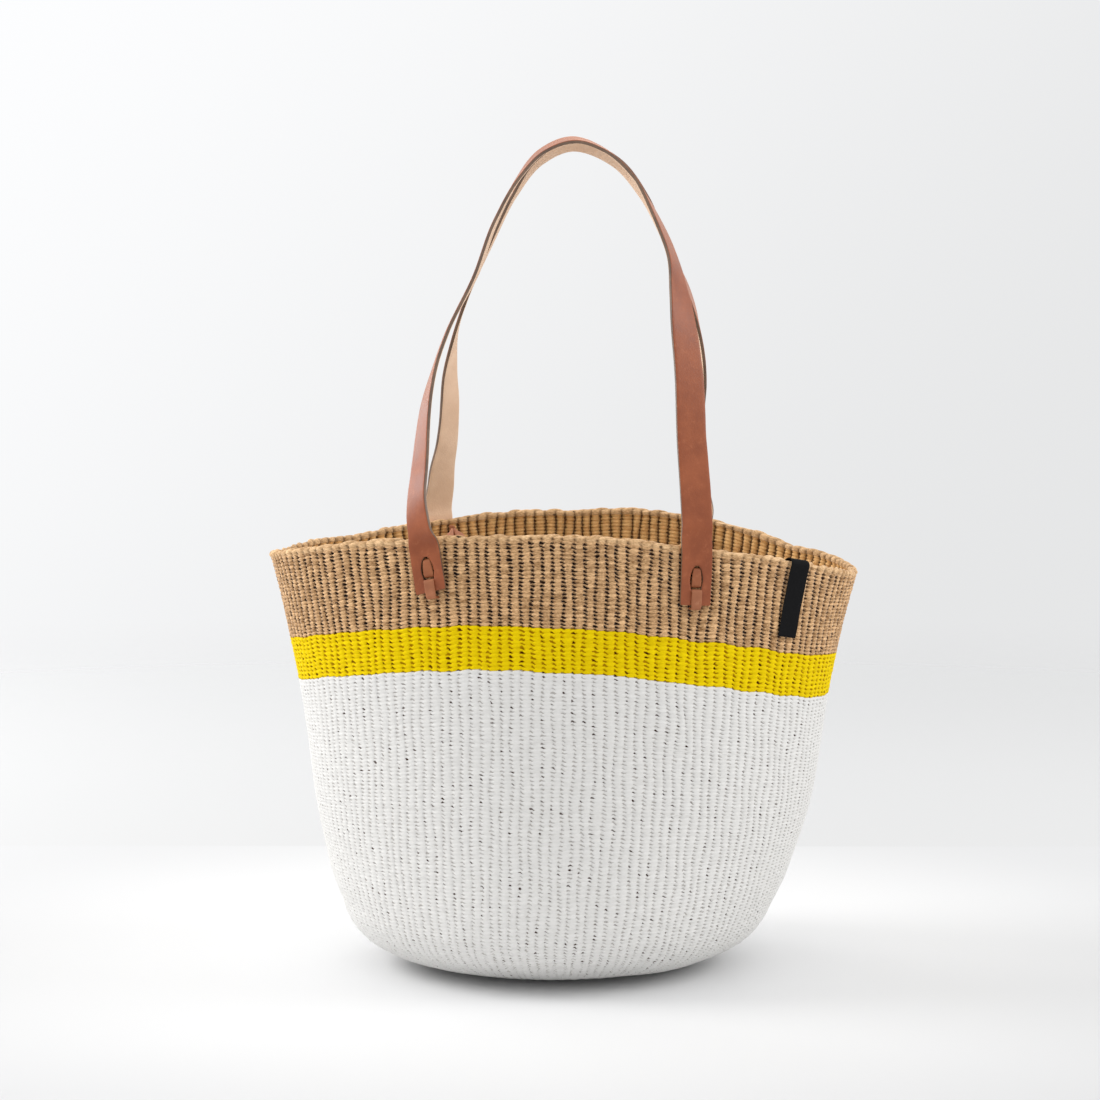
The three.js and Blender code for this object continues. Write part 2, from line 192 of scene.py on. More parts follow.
@dataclass(frozen=True)
class Ripple:
    """Soft unevenness over the weave: a sum of seeded sine waves.

    Each wave goes a whole number of times round the basket, so it closes on itself.
    """

    seed: int
    waves: int = 10
    least_round: int = 2
    most_round: int = 26
    row_wave: float = 26.0

    def at(self, round_share: Array, row: Array) -> Array:
        """Sums a sin(2 pi (k s + r / w) + p) over the waves.

        Args:
            round_share: the share s of the way round.
            row: the row r of the weave.

        Returns:
            Values of about -1 to 1.
        """
        draw = np.random.default_rng(self.seed)
        total = np.zeros(np.broadcast(round_share, row).shape)
        for _ in range(self.waves):
            times = int(draw.integers(self.least_round, self.most_round))
            rise = draw.uniform(-1, 1) / self.row_wave
            phase = draw.uniform(0, TURN)
            total += np.sin(TURN * (times * round_share + rise * row) + phase)
        return total / math.sqrt(self.waves)


# Meshes


def grid_corners(rows: int, columns: int, is_round: bool) -> tuple[Array, Array]:
    """Lists the corners of every cell of a grid, going right and then up.

    Args:
        rows: how many rows of points there are.
        columns: how many columns of points there are.
        is_round: whether the last column joins the first.

    Returns:
        The row and the column of each corner, before the wrap, as (cells, 4) arrays.
    """
    across = np.arange(columns if is_round else columns - 1)
    up, right = np.meshgrid(np.arange(rows - 1), across, indexing="ij")
    corner_rows = np.stack([up, up, up + 1, up + 1], -1).reshape(-1, 4)
    corner_columns = np.stack([right, right + 1, right + 1, right], -1).reshape(-1, 4)
    return corner_rows, corner_columns


@dataclass
class Skin:
    """The points and faces of one piece, gathered patch by patch."""

    points: list[Array] = field(default_factory=list)
    faces: list[Array] = field(default_factory=list)
    uvs: list[Array] = field(default_factory=list)
    slots: list[Array] = field(default_factory=list)
    smooth: list[Array] = field(default_factory=list)
    marks: list[Array] = field(default_factory=list)
    count: int = 0

    def add_points(self, points: Array, marks: Array | None = None) -> int:
        """Adds points and returns the index of the first.

        Args:
            points: places along the last axis.
            marks: one value a point for the piece's own attribute, or zeros.

        Returns:
            The index of the first added point.
        """
        flat = points.reshape(-1, 3)
        first = self.count
        self.points.append(flat)
        self.marks.append(np.zeros(len(flat)) if marks is None else marks.reshape(-1))
        self.count += len(flat)
        return first

    def add_faces(
        self, faces: Array, uvs: Array | None = None, slot: int | Array = 0, is_smooth: bool = True
    ) -> None:
        """Adds faces with the same number of corners each.

        Args:
            faces: point indices, one face a row.
            uvs: a pair for each corner, or zeros.
            slot: the material slot of these faces, or one for each.
            is_smooth: whether they are shaded as one curved surface.
        """
        pairs = np.zeros((faces.size, 2)) if uvs is None else uvs.reshape(-1, 2)
        self.faces.append(faces)
        self.uvs.append(pairs)
        self.slots.append(np.full(len(faces), slot))
        self.smooth.append(np.full(len(faces), is_smooth))

    def add_grid(
        self,
        points: Array,
        uv: Array,
        is_round: bool = False,
        slot: int | Array = 0,
        marks: Array | None = None,
        is_turned: bool = False,
    ) -> int:
        """Adds a grid of points and its cells.

        Args:
            points: a (rows, columns, 3) grid.
            uv: the UV of every corner, with one more column where the grid is round.
            is_round: whether the last column joins the first.
            slot: the material slot, or one for each cell.
            marks: one value a point.
            is_turned: whether the cells face the other way.

        Returns:
            The index of the grid's first point.
        """
        rows, columns = points.shape[:2]
        first = self.add_points(points, marks)
        corner_rows, corner_columns = grid_corners(rows, columns, is_round)
        faces = first + corner_rows * columns + corner_columns % columns
        pairs = uv[corner_rows, corner_columns]
        if is_turned:
            faces, pairs = faces[:, ::-1], pairs[:, ::-1]
        self.add_faces(faces, pairs, slot)
        return first

    def build(self, name: str, materials: list[Material], mark: str = "") -> Thing:
        """Makes the mesh and its object.

        Args:
            name: the piece's name.
            materials: one for each slot.
            mark: the name of the attribute that holds the marks, if there is one.

        Returns:
            The new object, linked to the scene at the origin.
        """
        mesh = bpy.data.meshes.new(name)
        points = np.concatenate(self.points)
        sizes = np.concatenate([np.full(len(f), f.shape[1]) for f in self.faces])
        corners = np.concatenate([f.reshape(-1) for f in self.faces])
        mesh.vertices.add(len(points))
        mesh.vertices.foreach_set("co", points.astype(np.float32).ravel())
        mesh.loops.add(len(corners))
        mesh.loops.foreach_set("vertex_index", corners.astype(np.int32))
        mesh.polygons.add(len(sizes))
        starts = np.concatenate([[0], np.cumsum(sizes)[:-1]])
        mesh.polygons.foreach_set("loop_start", starts.astype(np.int32))
        mesh.polygons.foreach_set("material_index", np.concatenate(self.slots).astype(np.int32))
        mesh.polygons.foreach_set("use_smooth", np.concatenate(self.smooth))
        layer = mesh.uv_layers.new(name="surface")
        layer.data.foreach_set("uv", np.concatenate(self.uvs).astype(np.float32).ravel())
        if mark:
            values = mesh.attributes.new(mark, "FLOAT", "POINT").data
            values.foreach_set("value", np.concatenate(self.marks).astype(np.float32))
        mesh.update(calc_edges=True)
        mesh.validate()
        for material in materials:
            mesh.materials.append(material)
        piece = bpy.data.objects.new(name, mesh)
        bpy.context.scene.collection.objects.link(piece)
        return piece


def weld(piece: Thing, distance: float = 1e-6) -> None:
    """Merges the points of a piece that lie together.

    Args:
        piece: the object whose mesh is merged.
        distance: the most that merged points may be apart.
    """
    solid = bmesh.new()
    solid.from_mesh(piece.data)
    bmesh.ops.remove_doubles(solid, verts=solid.verts, dist=distance)
    bmesh.ops.dissolve_degenerate(solid, edges=solid.edges, dist=distance)
    solid.to_mesh(piece.data)
    solid.free()


# Materials


class Graph:
    """Adds nodes to a node tree and joins them with short calls."""

    def __init__(self, tree: NodeTree) -> None:
        """Keeps the tree that the nodes go into."""
        self.tree = tree

    def feed(self, node: Node, inputs: dict) -> None:
        """Joins a node's inputs to other sockets, or sets their own values.

        Args:
            node: the node.
            inputs: a socket or a value for each input, by name or number.
        """
        for name, value in inputs.items():
            if isinstance(value, Socket):
                self.tree.links.new(value, node.inputs[name])
            else:
                node.inputs[name].default_value = value

    def node(self, kind: str, inputs: dict | None = None, **settings: object) -> Node:
        """Adds one node.

        Args:
            kind: the node's type name, without the shader prefix.
            inputs: values or sockets for its inputs, by name or number.
            **settings: its properties.

        Returns:
            The new node.
        """
        node = self.tree.nodes.new("ShaderNode" + kind)
        for name, value in settings.items():
            setattr(node, name, value)
        self.feed(node, inputs or {})
        return node

    def math(self, kind: str, first: object, second: object = 0.0, third: object = 0.0) -> Socket:
        """Adds a math node and returns its result."""
        return self.node("Math", {0: first, 1: second, 2: third}, operation=kind).outputs[0]

    def mix(self, share: object, first: object, second: object) -> Socket:
        """Mixes two colours.

        Args:
            share: how much of the second.
            first: a colour or a socket.
            second: a colour or a socket.

        Returns:
            The mixed colour.
        """
        first, second = ((*part, 1.0) if isinstance(part, tuple) else part for part in (first, second))
        node = self.node("Mix", {0: share, 6: first, 7: second}, data_type="RGBA")
        return node.outputs[2]

    def noise(self, vector: Socket, scale: float, detail: float = 2.0, rough: float = 0.5) -> Socket:
        """Adds a noise texture and returns its value, about 0.5 in the middle."""
        inputs = {"Vector": vector, "Scale": scale, "Detail": detail, "Roughness": rough}
        return self.node("TexNoise", inputs).outputs["Fac"]

    def stretch(self, vector: Socket, scale: tuple[float, float, float]) -> Socket:
        """Multiplies a vector part by part."""
        node = self.node("VectorMath", {0: vector, 1: scale}, operation="MULTIPLY")
        return node.outputs[0]

    def span(
        self, value: Socket, low: object, high: object, start: object = 0.0, end: object = 1.0
    ) -> Socket:
        """Eases a value from one range to another.

        Args:
            value: the value to read.
            low: where the range starts.
            high: where it ends.
            start: the result at low.
            end: the result at high.

        Returns:
            The eased value.
        """
        inputs = {0: value, 1: low, 2: high, 3: start, 4: end}
        return self.node("MapRange", inputs, interpolation_type="SMOOTHSTEP").outputs[0]


def node_group(
    name: str,
    inputs: dict[str, object],
    fill: Callable[[Graph, dict[str, Socket]], dict[str, Socket]],
) -> NodeTree:
    """Makes a shader node group with named sockets.

    Args:
        name: the group's name.
        inputs: the default of each input; one that is None is a vector.
        fill: adds the nodes, and returns the socket that feeds each output, a value.

    Returns:
        The group.
    """
    tree = bpy.data.node_groups.new(name, "ShaderNodeTree")
    for label, default in inputs.items():
        kind = "NodeSocketVector" if default is None else "NodeSocketFloat"
        socket = tree.interface.new_socket(label, in_out="INPUT", socket_type=kind)
        if default is not None:
            socket.default_value = default
    graph = Graph(tree)
    start = tree.nodes.new("NodeGroupInput")
    end = tree.nodes.new("NodeGroupOutput")
    for label, socket in fill(graph, {label: start.outputs[label] for label in inputs}).items():
        tree.interface.new_socket(label, in_out="OUTPUT", socket_type="NodeSocketFloat")
        tree.links.new(socket, end.inputs[label])
    return tree


def stitch_group() -> NodeTree:
    """Makes the group that reads one stitch of the weave from its UV.

    A stitch goes from one whole number to the next both ways: U counts the warps and
    V the rows, and a slow noise bends both. Pit is the painted shade of the wedge where
    four stitches meet, thick at its left end and leaning over by Slant; Core is its
    darkest painted shadow, at a few corners only; Lip is the painted highlight on the
    edge below it; Line is the painted shade of the broken groove between two rows; Seam
    is the painted shade of the groove between two warps, notched at each row; and
    Stitch is a random number for each stitch.

    Returns:
        The group.
    """

    def fill(graph: Graph, given: dict[str, Socket]) -> dict[str, Socket]:
        """Adds the nodes of one stitch.

        Args:
            graph: adds nodes to the group.
            given: the group's inputs.

        Returns:
            The socket that feeds each output.
        """
        parts = graph.node("SeparateXYZ", {0: given["Place"]}).outputs
        bend_inputs = {"Vector": graph.stretch(given["Place"], (2.0, 1.2, 1.0)), "Scale": 1.0, "Detail": 2.0}
        bends = graph.node("SeparateColor", {0: graph.node("TexNoise", bend_inputs).outputs["Color"]}).outputs
        reaches = zip(bends[:2], (0.5, 1.0))
        bent = [graph.math("MULTIPLY_ADD", bend, most, -most / 2) for bend, most in reaches]
        bent = [graph.math("ADD", part, shift) for part, shift in zip(parts[:2], bent)]
        side, rise = [graph.math("WRAP", part, 0.5, -0.5) for part in bent]
        corner = [graph.math("FLOOR", graph.math("ADD", part, 0.5)) for part in bent]
        corner_place = graph.node("CombineXYZ", {0: corner[0], 1: corner[1]}).outputs[0]
        luck = graph.node("TexWhiteNoise", {"Vector": corner_place}, noise_dimensions="2D").outputs["Color"]
        luck = graph.node("SeparateColor", {0: luck}).outputs
        # Pit, Core, Line and Seam are masks of painted shade, and Lip one of painted highlight.
        size = graph.math("MULTIPLY_ADD", luck[0], 0.4, 0.8)
        reach = graph.math("MULTIPLY", given["Pit Width"], size)
        slant = graph.math("ADD", graph.math("MULTIPLY_ADD", luck[1], 0.8, -0.4), given["Slant"])
        leaning = graph.math("MULTIPLY_ADD", side, slant, rise)
        along = graph.math("DIVIDE", side, reach)
        taper = graph.math("MULTIPLY_ADD", along, -0.42, 0.72)
        thick = graph.math("MULTIPLY", graph.math("MULTIPLY", given["Pit Height"], size), taper)
        off = graph.math("DIVIDE", graph.math("ABSOLUTE", leaning), graph.math("MAXIMUM", thick, 0.02))
        ends = graph.span(graph.math("ABSOLUTE", along), 0.7, 1.1, 1.0, 0.0)
        pit = graph.math("MULTIPLY", graph.span(off, 0.45, 1.15, 1.0, 0.0), ends)
        middle = graph.math("POWER", graph.math("MULTIPLY_ADD", along, 1.6, 0.4), 2.0)
        blob = graph.math("ADD", middle, graph.math("POWER", graph.math("DIVIDE", leaning, 0.2), 2.0))
        soft_end = graph.math("ADD", given["Core Share"], 0.12)
        chosen = graph.span(luck[2], given["Core Share"], soft_end, 1.0, 0.0)
        core_shadow = graph.math("MULTIPLY", graph.span(blob, 0.4, 1.3, 1.0, 0.0), chosen)
        # Painted highlight along the stitch's edge just below the pit.
        lip_off = graph.math("ABSOLUTE", graph.math("ADD", leaning, 0.4))
        lip_highlight = graph.math("MULTIPLY", graph.span(lip_off, 0.0, 0.24, 1.0, 0.0), ends)
        broken = graph.span(graph.noise(graph.stretch(given["Place"], (1.6, 1.0, 1.0)), 1.0, 2.0), 0.4, 0.62)
        broken = graph.math("MULTIPLY_ADD", broken, 0.8, 0.2)
        line = graph.span(graph.math("ABSOLUTE", rise), 0.0, given["Line Width"], 1.0, 0.0)
        beside = graph.span(graph.math("ABSOLUTE", side), 0.12, 0.42, 1.0, 0.35)
        line = graph.math("MULTIPLY", graph.math("MULTIPLY", line, beside), broken)
        notch = graph.math("COSINE", graph.math("MULTIPLY", rise, TURN))
        wide = graph.math("MULTIPLY", graph.math("MULTIPLY_ADD", notch, 0.45, 1.0), given["Pit Width"])
        seam = graph.span(graph.math("DIVIDE", graph.math("ABSOLUTE", side), wide), 0.25, 1.0, 1.0, 0.0)
        cell = [graph.math("FLOOR", part) for part in bent]
        cell_place = graph.node("CombineXYZ", {0: cell[0], 1: cell[1]}).outputs[0]
        stitch = graph.node("TexWhiteNoise", {"Vector": cell_place}, noise_dimensions="2D").outputs["Value"]
        return {"Pit": pit, "Core": core_shadow, "Lip": lip_highlight, "Line": line, "Seam": seam, "Stitch": stitch}

    inputs = {"Place": None, "Pit Width": 0.26, "Pit Height": 0.42, "Slant": 0.12}
    inputs.update({"Line Width": 0.16, "Core Share": 0.05})
    return node_group("stitches", inputs, fill)


def fibre_group() -> NodeTree:
    """Makes the group for the fibres of a twisted strand.

    Fine is a streak pattern that runs along U, pulled over by Twist; Patch is the
    slow change of shade along the strand.

    Returns:
        The group.
    """

    def fill(graph: Graph, given: dict[str, Socket]) -> dict[str, Socket]:
        """Adds the nodes of the fibres.

        Args:
            graph: adds nodes to the group.
            given: the group's inputs.

        Returns:
            The socket that feeds each output.
        """
        parts = graph.node("SeparateXYZ", {0: given["Place"]}).outputs
        pulled = graph.math("MULTIPLY_ADD", parts[0], given["Twist"], parts[1])
        along = graph.math("MULTIPLY", parts[0], given["Along"])
        across = graph.math("MULTIPLY", pulled, given["Across"])
        streak_place = graph.node("CombineXYZ", {0: along, 1: across}).outputs[0]
        patch_place = graph.stretch(given["Place"], (0.5, 1.0, 1.0))
        return {"Fine": graph.noise(streak_place, 1.0, 3.0, 0.6), "Patch": graph.noise(patch_place, 1.0, 2.0)}

    inputs = {"Place": None, "Along": 3.5, "Across": 4.0, "Twist": 0.3}
    return node_group("fibres", inputs, fill)


def hide_group() -> NodeTree:
    """Makes the group for tanned hide.

    Grain is the fine pebble of the skin, Cloud the slow mottling of the tan, and
    Scuff the sparse rubbed patches.

    Returns:
        The group.
    """

    def fill(graph: Graph, given: dict[str, Socket]) -> dict[str, Socket]:
        """Adds the nodes of the hide.

        Args:
            graph: adds nodes to the group.
            given: the group's inputs.

        Returns:
            The socket that feeds each output.
        """
        cells = graph.node("TexVoronoi", {"Vector": given["Place"], "Scale": given["Pebbles"]})
        fine = graph.noise(given["Place"], 2600.0, 3.0, 0.6)
        grain = graph.math("MULTIPLY_ADD", fine, 0.6, cells.outputs["Distance"])
        cloud = graph.noise(given["Place"], 60.0, 4.0, 0.6)
        scuff = graph.span(graph.noise(given["Place"], 240.0, 3.0, 0.7), 0.56, 0.72)
        return {"Grain": grain, "Cloud": cloud, "Scuff": scuff}

    return node_group("hide", {"Place": None, "Pebbles": 900.0}, fill)


@dataclass
class Workshop:
    """The node groups that several finishes share, made once."""

    stitches: NodeTree = field(default_factory=stitch_group)
    fibres: NodeTree = field(default_factory=fibre_group)
    hide: NodeTree = field(default_factory=hide_group)


def new_material(name: str) -> tuple[Material, Graph, Node]:
    """Makes a material with a Principled shader.

    Args:
        name: the material's name.

    Returns:
        The material, the graph of its nodes and its Principled node.
    """
    material = bpy.data.materials.new(name)
    material.use_nodes = True
    graph = Graph(material.node_tree)
    return material, graph, material.node_tree.nodes["Principled BSDF"]


@dataclass(frozen=True)
class WeaveFinish:
    """The colour and surface of twined cord, outside or inside the basket.

    Widths and heights are shares of a stitch and strengths go from 0 to 1. Deep and
    light are the ends of the strand's own shades. Pit is the colour of the painted shade
    in its pits, grooves, seams and hollows, core that of the painted shadow at their
    darkest spots, and the lip a painted highlight below each pit.
    """

    name: str
    light: Colour
    deep: Colour
    # pit and core are the colours of painted shade in the weave's holes and of painted shadow at their
    # darkest spots.
    pit: Colour
    core_shadow: Colour = (0.02, 0.01, 0.006)
    pit_width: float = 0.26
    pit_height: float = 0.42
    pit_shade_strength: float = 1.0
    core_share: float = 0.05
    lip_highlight_strength: float = 0.3
    line_width: float = 0.16
    groove_shade_strength: float = 0.35
    seam_shade_strength: float = 0.0
    cavity_shade_strength: float = 0.3
    shade_change: float = 0.2
    fibre_change: float = 0.4
    roughness: float = 0.75
    specular: float = 0.15
    sheen: float = 0.0
    relief: float = 0.00022

    def make(self, workshop: Workshop) -> Material:
        """Builds the material.

        Args:
            workshop: the shared node groups.

        Returns:
            The material.
        """
        material, graph, shader = new_material(self.name)
        place = graph.node("UVMap", uv_map="surface").outputs[0]
        sizes = {
            "Place": place,
            "Pit Width": self.pit_width,
            "Pit Height": self.pit_height,
            "Line Width": self.line_width,
            "Core Share": self.core_share,
        }
        stitch = graph.node("Group", sizes, node_tree=workshop.stitches).outputs
        fibres = graph.node("Group", {"Place": place}, node_tree=workshop.fibres).outputs
        # Painted shade stored on the mesh: darker in grooves, pits and at the sides of round cords.
        cavity_shade = graph.node("Attribute", attribute_name="cavity_shade").outputs["Fac"]
        shade = graph.math("MULTIPLY_ADD", stitch["Stitch"], self.shade_change, 0.5 - self.shade_change / 2)
        patch = graph.math("MULTIPLY_ADD", fibres["Patch"], 1.2, -0.6)
        fine = graph.math("MULTIPLY_ADD", fibres["Fine"], 2.4, -1.2)
        # The lip adds a painted highlight below each pit.
        shares = (
            (patch, self.shade_change * 2),
            (fine, self.fibre_change),
            (stitch["Lip"], self.lip_highlight_strength),
        )
        for change, share in shares:
            shade = graph.math("ADD", shade, graph.math("MULTIPLY", change, share))
        shade = graph.math("MAXIMUM", graph.math("MINIMUM", shade, 1.0), 0.0)
        strand = graph.mix(shade, self.deep, self.light)
        # Painted shade: row grooves, seams, pits and the mesh's cavity mask darken the strand towards the pit
        # colour.
        painted_shade = graph.math("MULTIPLY", stitch["Line"], self.groove_shade_strength)
        shares = (
            (stitch["Seam"], self.seam_shade_strength),
            (stitch["Pit"], self.pit_shade_strength),
            (cavity_shade, self.cavity_shade_strength),
        )
        for hole, share in shares:
            painted_shade = graph.math("MAXIMUM", painted_shade, graph.math("MULTIPLY", hole, share))
        colour = graph.mix(painted_shade, strand, self.pit)
        height = graph.math("MULTIPLY_ADD", fibres["Fine"], 0.6, graph.math("MULTIPLY", painted_shade, -1.2))
        bump = graph.node("Bump", {"Height": height, "Distance": self.relief, "Strength": 1.0})
        # The core adds painted shadow at the darkest spots of some pits.
        looks = {
            "Base Color": graph.mix(stitch["Core"], colour, self.core_shadow),
            "Roughness": graph.math("MULTIPLY_ADD", fibres["Fine"], 0.2, self.roughness - 0.1),
            "Specular IOR Level": self.specular,
            "Sheen Weight": self.sheen,
            "Sheen Roughness": 0.4,
            "Normal": bump.outputs[0],
        }
        graph.feed(shader, looks)
        return material


@dataclass(frozen=True)
class HideFinish:
    """The colour and surface of one side of a strip of leather.

    Deep and light are the ends of the hide's own shades and scuffed is the colour of
    its rubbed patches. The sheen is the soft glow of a waxed skin seen aslant.
    """

    name: str
    light: Colour
    deep: Colour
    scuffed: Colour
    roughness: float
    pebbles: float = 900.0
    relief: float = 0.00008
    scuff_strength: float = 0.25
    sheen: float = 0.0
    sheen_tint: Colour = (1.0, 1.0, 1.0)
    specular: float = 0.5

    def make(self, workshop: Workshop) -> Material:
        """Builds the material.

        Args:
            workshop: the shared node groups.

        Returns:
            The material.
        """
        material, graph, shader = new_material(self.name)
        place = graph.node("TexCoord").outputs["Object"]
        skin_inputs = {"Place": place, "Pebbles": self.pebbles}
        hide = graph.node("Group", skin_inputs, node_tree=workshop.hide).outputs
        tan = graph.mix(graph.span(hide["Cloud"], 0.3, 0.7), self.deep, self.light)
        pores = graph.math("MULTIPLY", graph.span(hide["Grain"], 0.2, 0.9), 0.25)
        tan = graph.mix(pores, tan, self.deep)
        worn = graph.math("MULTIPLY", hide["Scuff"], self.scuff_strength)
        bump = graph.node("Bump", {"Height": hide["Grain"], "Distance": self.relief, "Strength": 0.6})
        looks = {
            "Base Color": graph.mix(worn, tan, self.scuffed),
            "Roughness": graph.math("MULTIPLY_ADD", hide["Cloud"], 0.2, self.roughness - 0.1),
            "Specular IOR Level": self.specular,
            "Sheen Weight": self.sheen,
            "Sheen Roughness": 0.25,
            "Sheen Tint": (*self.sheen_tint, 1.0),
            "Normal": bump.outputs[0],
        }
        graph.feed(shader, looks)
        return material


@dataclass(frozen=True)
class TapeFinish:
    """The colour and surface of a close black woven tape."""

    name: str = "black woven tape"
    light: Colour = (0.012, 0.012, 0.013)
    deep: Colour = (0.004, 0.004, 0.0045)
    threads: float = 2600.0
    roughness: float = 0.75
    specular: float = 0.06
    relief: float = 0.0001

    def make(self) -> Material:
        """Builds the material: two sets of ribs, in U and V, over and under by turns.

        Returns:
            The material.
        """
        material, graph, shader = new_material(self.name)
        place = graph.node("UVMap", uv_map="surface").outputs[0]
        threads = graph.stretch(place, (self.threads, self.threads, 1.0))
        parts = graph.node("SeparateXYZ", {0: threads}).outputs
        ribs = [graph.math("SINE", graph.math("MULTIPLY", part, math.pi)) for part in parts[:2]]
        weave = graph.math("MULTIPLY_ADD", graph.math("MULTIPLY", ribs[0], ribs[1]), 0.5, 0.5)
        uneven = graph.noise(place, 220.0, 3.0)
        shade = graph.math("MULTIPLY", weave, graph.math("MULTIPLY_ADD", uneven, 0.8, 0.4))
        bump = graph.node("Bump", {"Height": weave, "Distance": self.relief, "Strength": 0.8})
        looks = {
            "Base Color": graph.mix(shade, self.deep, self.light),
            "Roughness": graph.math("MULTIPLY_ADD", uneven, 0.2, self.roughness - 0.1),
            "Specular IOR Level": self.specular,
            "Normal": bump.outputs[0],
        }
        graph.feed(shader, looks)
        return material


# The woven body


@dataclass(frozen=True)
class BodyShape:
    """The outer surface of the woven body, the same as in the solids.

    A place is an angle round the mouth, from the middle of the front towards +X, and
    a height up the profile, from the floor to the rim.
    """

    rim_half_width: float = 0.190
    rim_half_depth: float = 0.122
    rim_height: float = 0.283
    rim_droop: float = 0.025
    rim_tilt: float = 0.0045
    rim_skew: float = 0.003
    base_shift: float = 0.005
    thickness: float = 0.0055
    base_rise: float = 0.0055
    yellow_height: float = 0.027
    tan_height: float = 0.0545
    border_height: float = 0.0044
    border_overhang: float = 0.0008
    cord_height: float = 0.0026
    crest_reach: float = 0.045
    probe: float = 0.00001
    angle_rounds: int = 8
    front_crest: Table = Table(
        (
            (-0.19, 0.0012), (-0.17, 0.0006), (-0.14, 0.0), (-0.11, -0.0007), (-0.07, -0.0003),
            (-0.035, -0.0003), (-0.018, 0.0011), (0.01, 0.0017), (0.04, 0.0022), (0.055, 0.0016),
            (0.075, 0.0019), (0.1, 0.0022), (0.13, 0.0028), (0.152, 0.0025), (0.172, 0.0014),
            (0.19, 0.0),
        )
    )
    back_crest: Table = Table(
        (
            (-0.19, 0.0012), (-0.17, 0.0025), (-0.157, 0.0019), (-0.142, -0.0007), (-0.127, 0.0),
            (-0.07, 0.0001), (-0.04, 0.0008), (-0.01, 0.0007), (0.01, 0.0003), (0.03, 0.0018),
            (0.055, 0.003), (0.075, 0.0028), (0.11, 0.002), (0.127, 0.0002), (0.142, -0.0014),
            (0.157, -0.0024), (0.172, -0.0007), (0.19, 0.0),
        )
    )
    profile: Table = Table(
        (
            (0.0, 0.342, 0.492, 0.0, 1.0),
            (0.0053, 0.421, 0.623, 0.0, 1.0),
            (0.0194, 0.532, 0.803, 0.008, 1.0),
            (0.0406, 0.605, 0.918, 0.02, 1.0),
            (0.0689, 0.668, 1.016, 0.03, 0.96),
            (0.106, 0.711, 1.082, 0.04, 0.9),
            (0.157, 0.742, 1.115, 0.1, 0.75),
            (0.212, 0.774, 1.118, 0.18, 0.6),
            (0.3, 0.808, 1.109, 0.32, 0.4),
            (0.371, 0.833, 1.102, 0.44, 0.24),
            (0.442, 0.852, 1.093, 0.56, 0.12),
            (0.583, 0.878, 1.074, 0.76, 0.0),
            (0.712, 0.904, 1.057, 0.904, 0.0),
            (0.807, 0.932, 1.041, 0.92, 0.0),
            (0.905, 0.963, 1.02, 0.96, 0.0),
            (1.0, 1.0, 1.0, 1.0, 0.0),
        )
    )

    @property
    def yellow_top(self) -> float:
        """The height at which the tan band starts."""
        return self.rim_height - self.tan_height

    @property
    def white_top(self) -> float:
        """The height at which the yellow band starts."""
        return self.yellow_top - self.yellow_height

    @property
    def border_half_width(self) -> float:
        """Half of the border's width through the wall."""
        return (self.thickness + self.border_overhang) / 2

    @property
    def border_middle(self) -> float:
        """The height of the solid border's middle."""
        return self.rim_height - self.border_height / 2

    def lift(self, angle: Array, height: Array) -> Array:
        """Gives how far the hand-made rim stands above its smooth line.

        Args:
            angle: the angle round the mouth.
            height: the height up the profile.

        Returns:
            The rise, which fades out below the rim.
        """
        side = self.rim_half_width * np.sin(angle)
        front, back = (table.read(side)[..., 0] for table in (self.front_crest, self.back_crest))
        rise = np.where(np.cos(angle) > 0, front, back)
        return rise * smooth_step(height, self.rim_height - self.crest_reach, self.rim_height)

    def wall(self, angle: Array, height: Array) -> Array:
        """Gives places on the outer surface.

        x is the half width times sin(angle), less the base's shift; y is minus the
        half depth times cos(angle); and z is the height less the rim's droop, which
        grows with sin(angle) squared.

        Args:
            angle: the angle round the mouth.
            height: the height up the profile.

        Returns:
            Points along the last axis.
        """
        angle, height = np.broadcast_arrays(angle, height)
        share = np.moveaxis(self.profile.read(height / self.rim_height), -1, 0)
        width, depth, droop, shift = share
        side = np.sin(angle)
        dip = self.rim_droop * side**2 + self.rim_tilt * side + self.rim_skew * np.sin(2 * angle)
        return np.stack(
            [
                self.rim_half_width * width * side - self.base_shift * shift,
                -self.rim_half_depth * depth * np.cos(angle),
                height - droop * dip,
            ],
            -1,
        )

    def directions(self, angle: Array, height: Array) -> tuple[Array, Array, Array]:
        """Gives the surface's own directions, from small steps to both sides.

        Args:
            angle: the angle round the mouth.
            height: the height up the profile.

        Returns:
            Unit vectors along the wall, up it and outwards.
        """
        turn = self.probe / self.rim_half_width
        along = unit(self.wall(angle + turn, height) - self.wall(angle - turn, height))
        low = np.maximum(np.asarray(height) - self.probe, 0.0)
        up = unit(self.wall(angle, height + self.probe) - self.wall(angle, low))
        return along, up, unit(np.cross(along, up))

    def angle_at(self, share: Array, height: Array) -> Array:
        """Finds the angle at a share of the way round, measured along the wall.

        An ellipse's length up to an angle a is close to a + p sin 2a + q sin 4a, and
        this is solved for a by repeated substitution.

        Args:
            share: the share of the way round, from the middle of the back.
            height: the height up the profile.

        Returns:
            The angle.
        """
        share, height = np.broadcast_arrays(share, height)
        sizes = self.profile.read(height / self.rim_height)
        width, depth = self.rim_half_width * sizes[..., 0], self.rim_half_depth * sizes[..., 1]
        flat = (width**2 - depth**2) / (width**2 + depth**2)
        mean = 1 - flat**2 / 16
        first = (flat / 4 + 3 * flat**3 / 128) / mean
        second = -(flat**2) / 64 / mean
        goal = TURN * share - math.pi
        angle = goal
        for _ in range(self.angle_rounds):
            angle = goal - first * np.sin(2 * angle) - second * np.sin(4 * angle)
        return angle

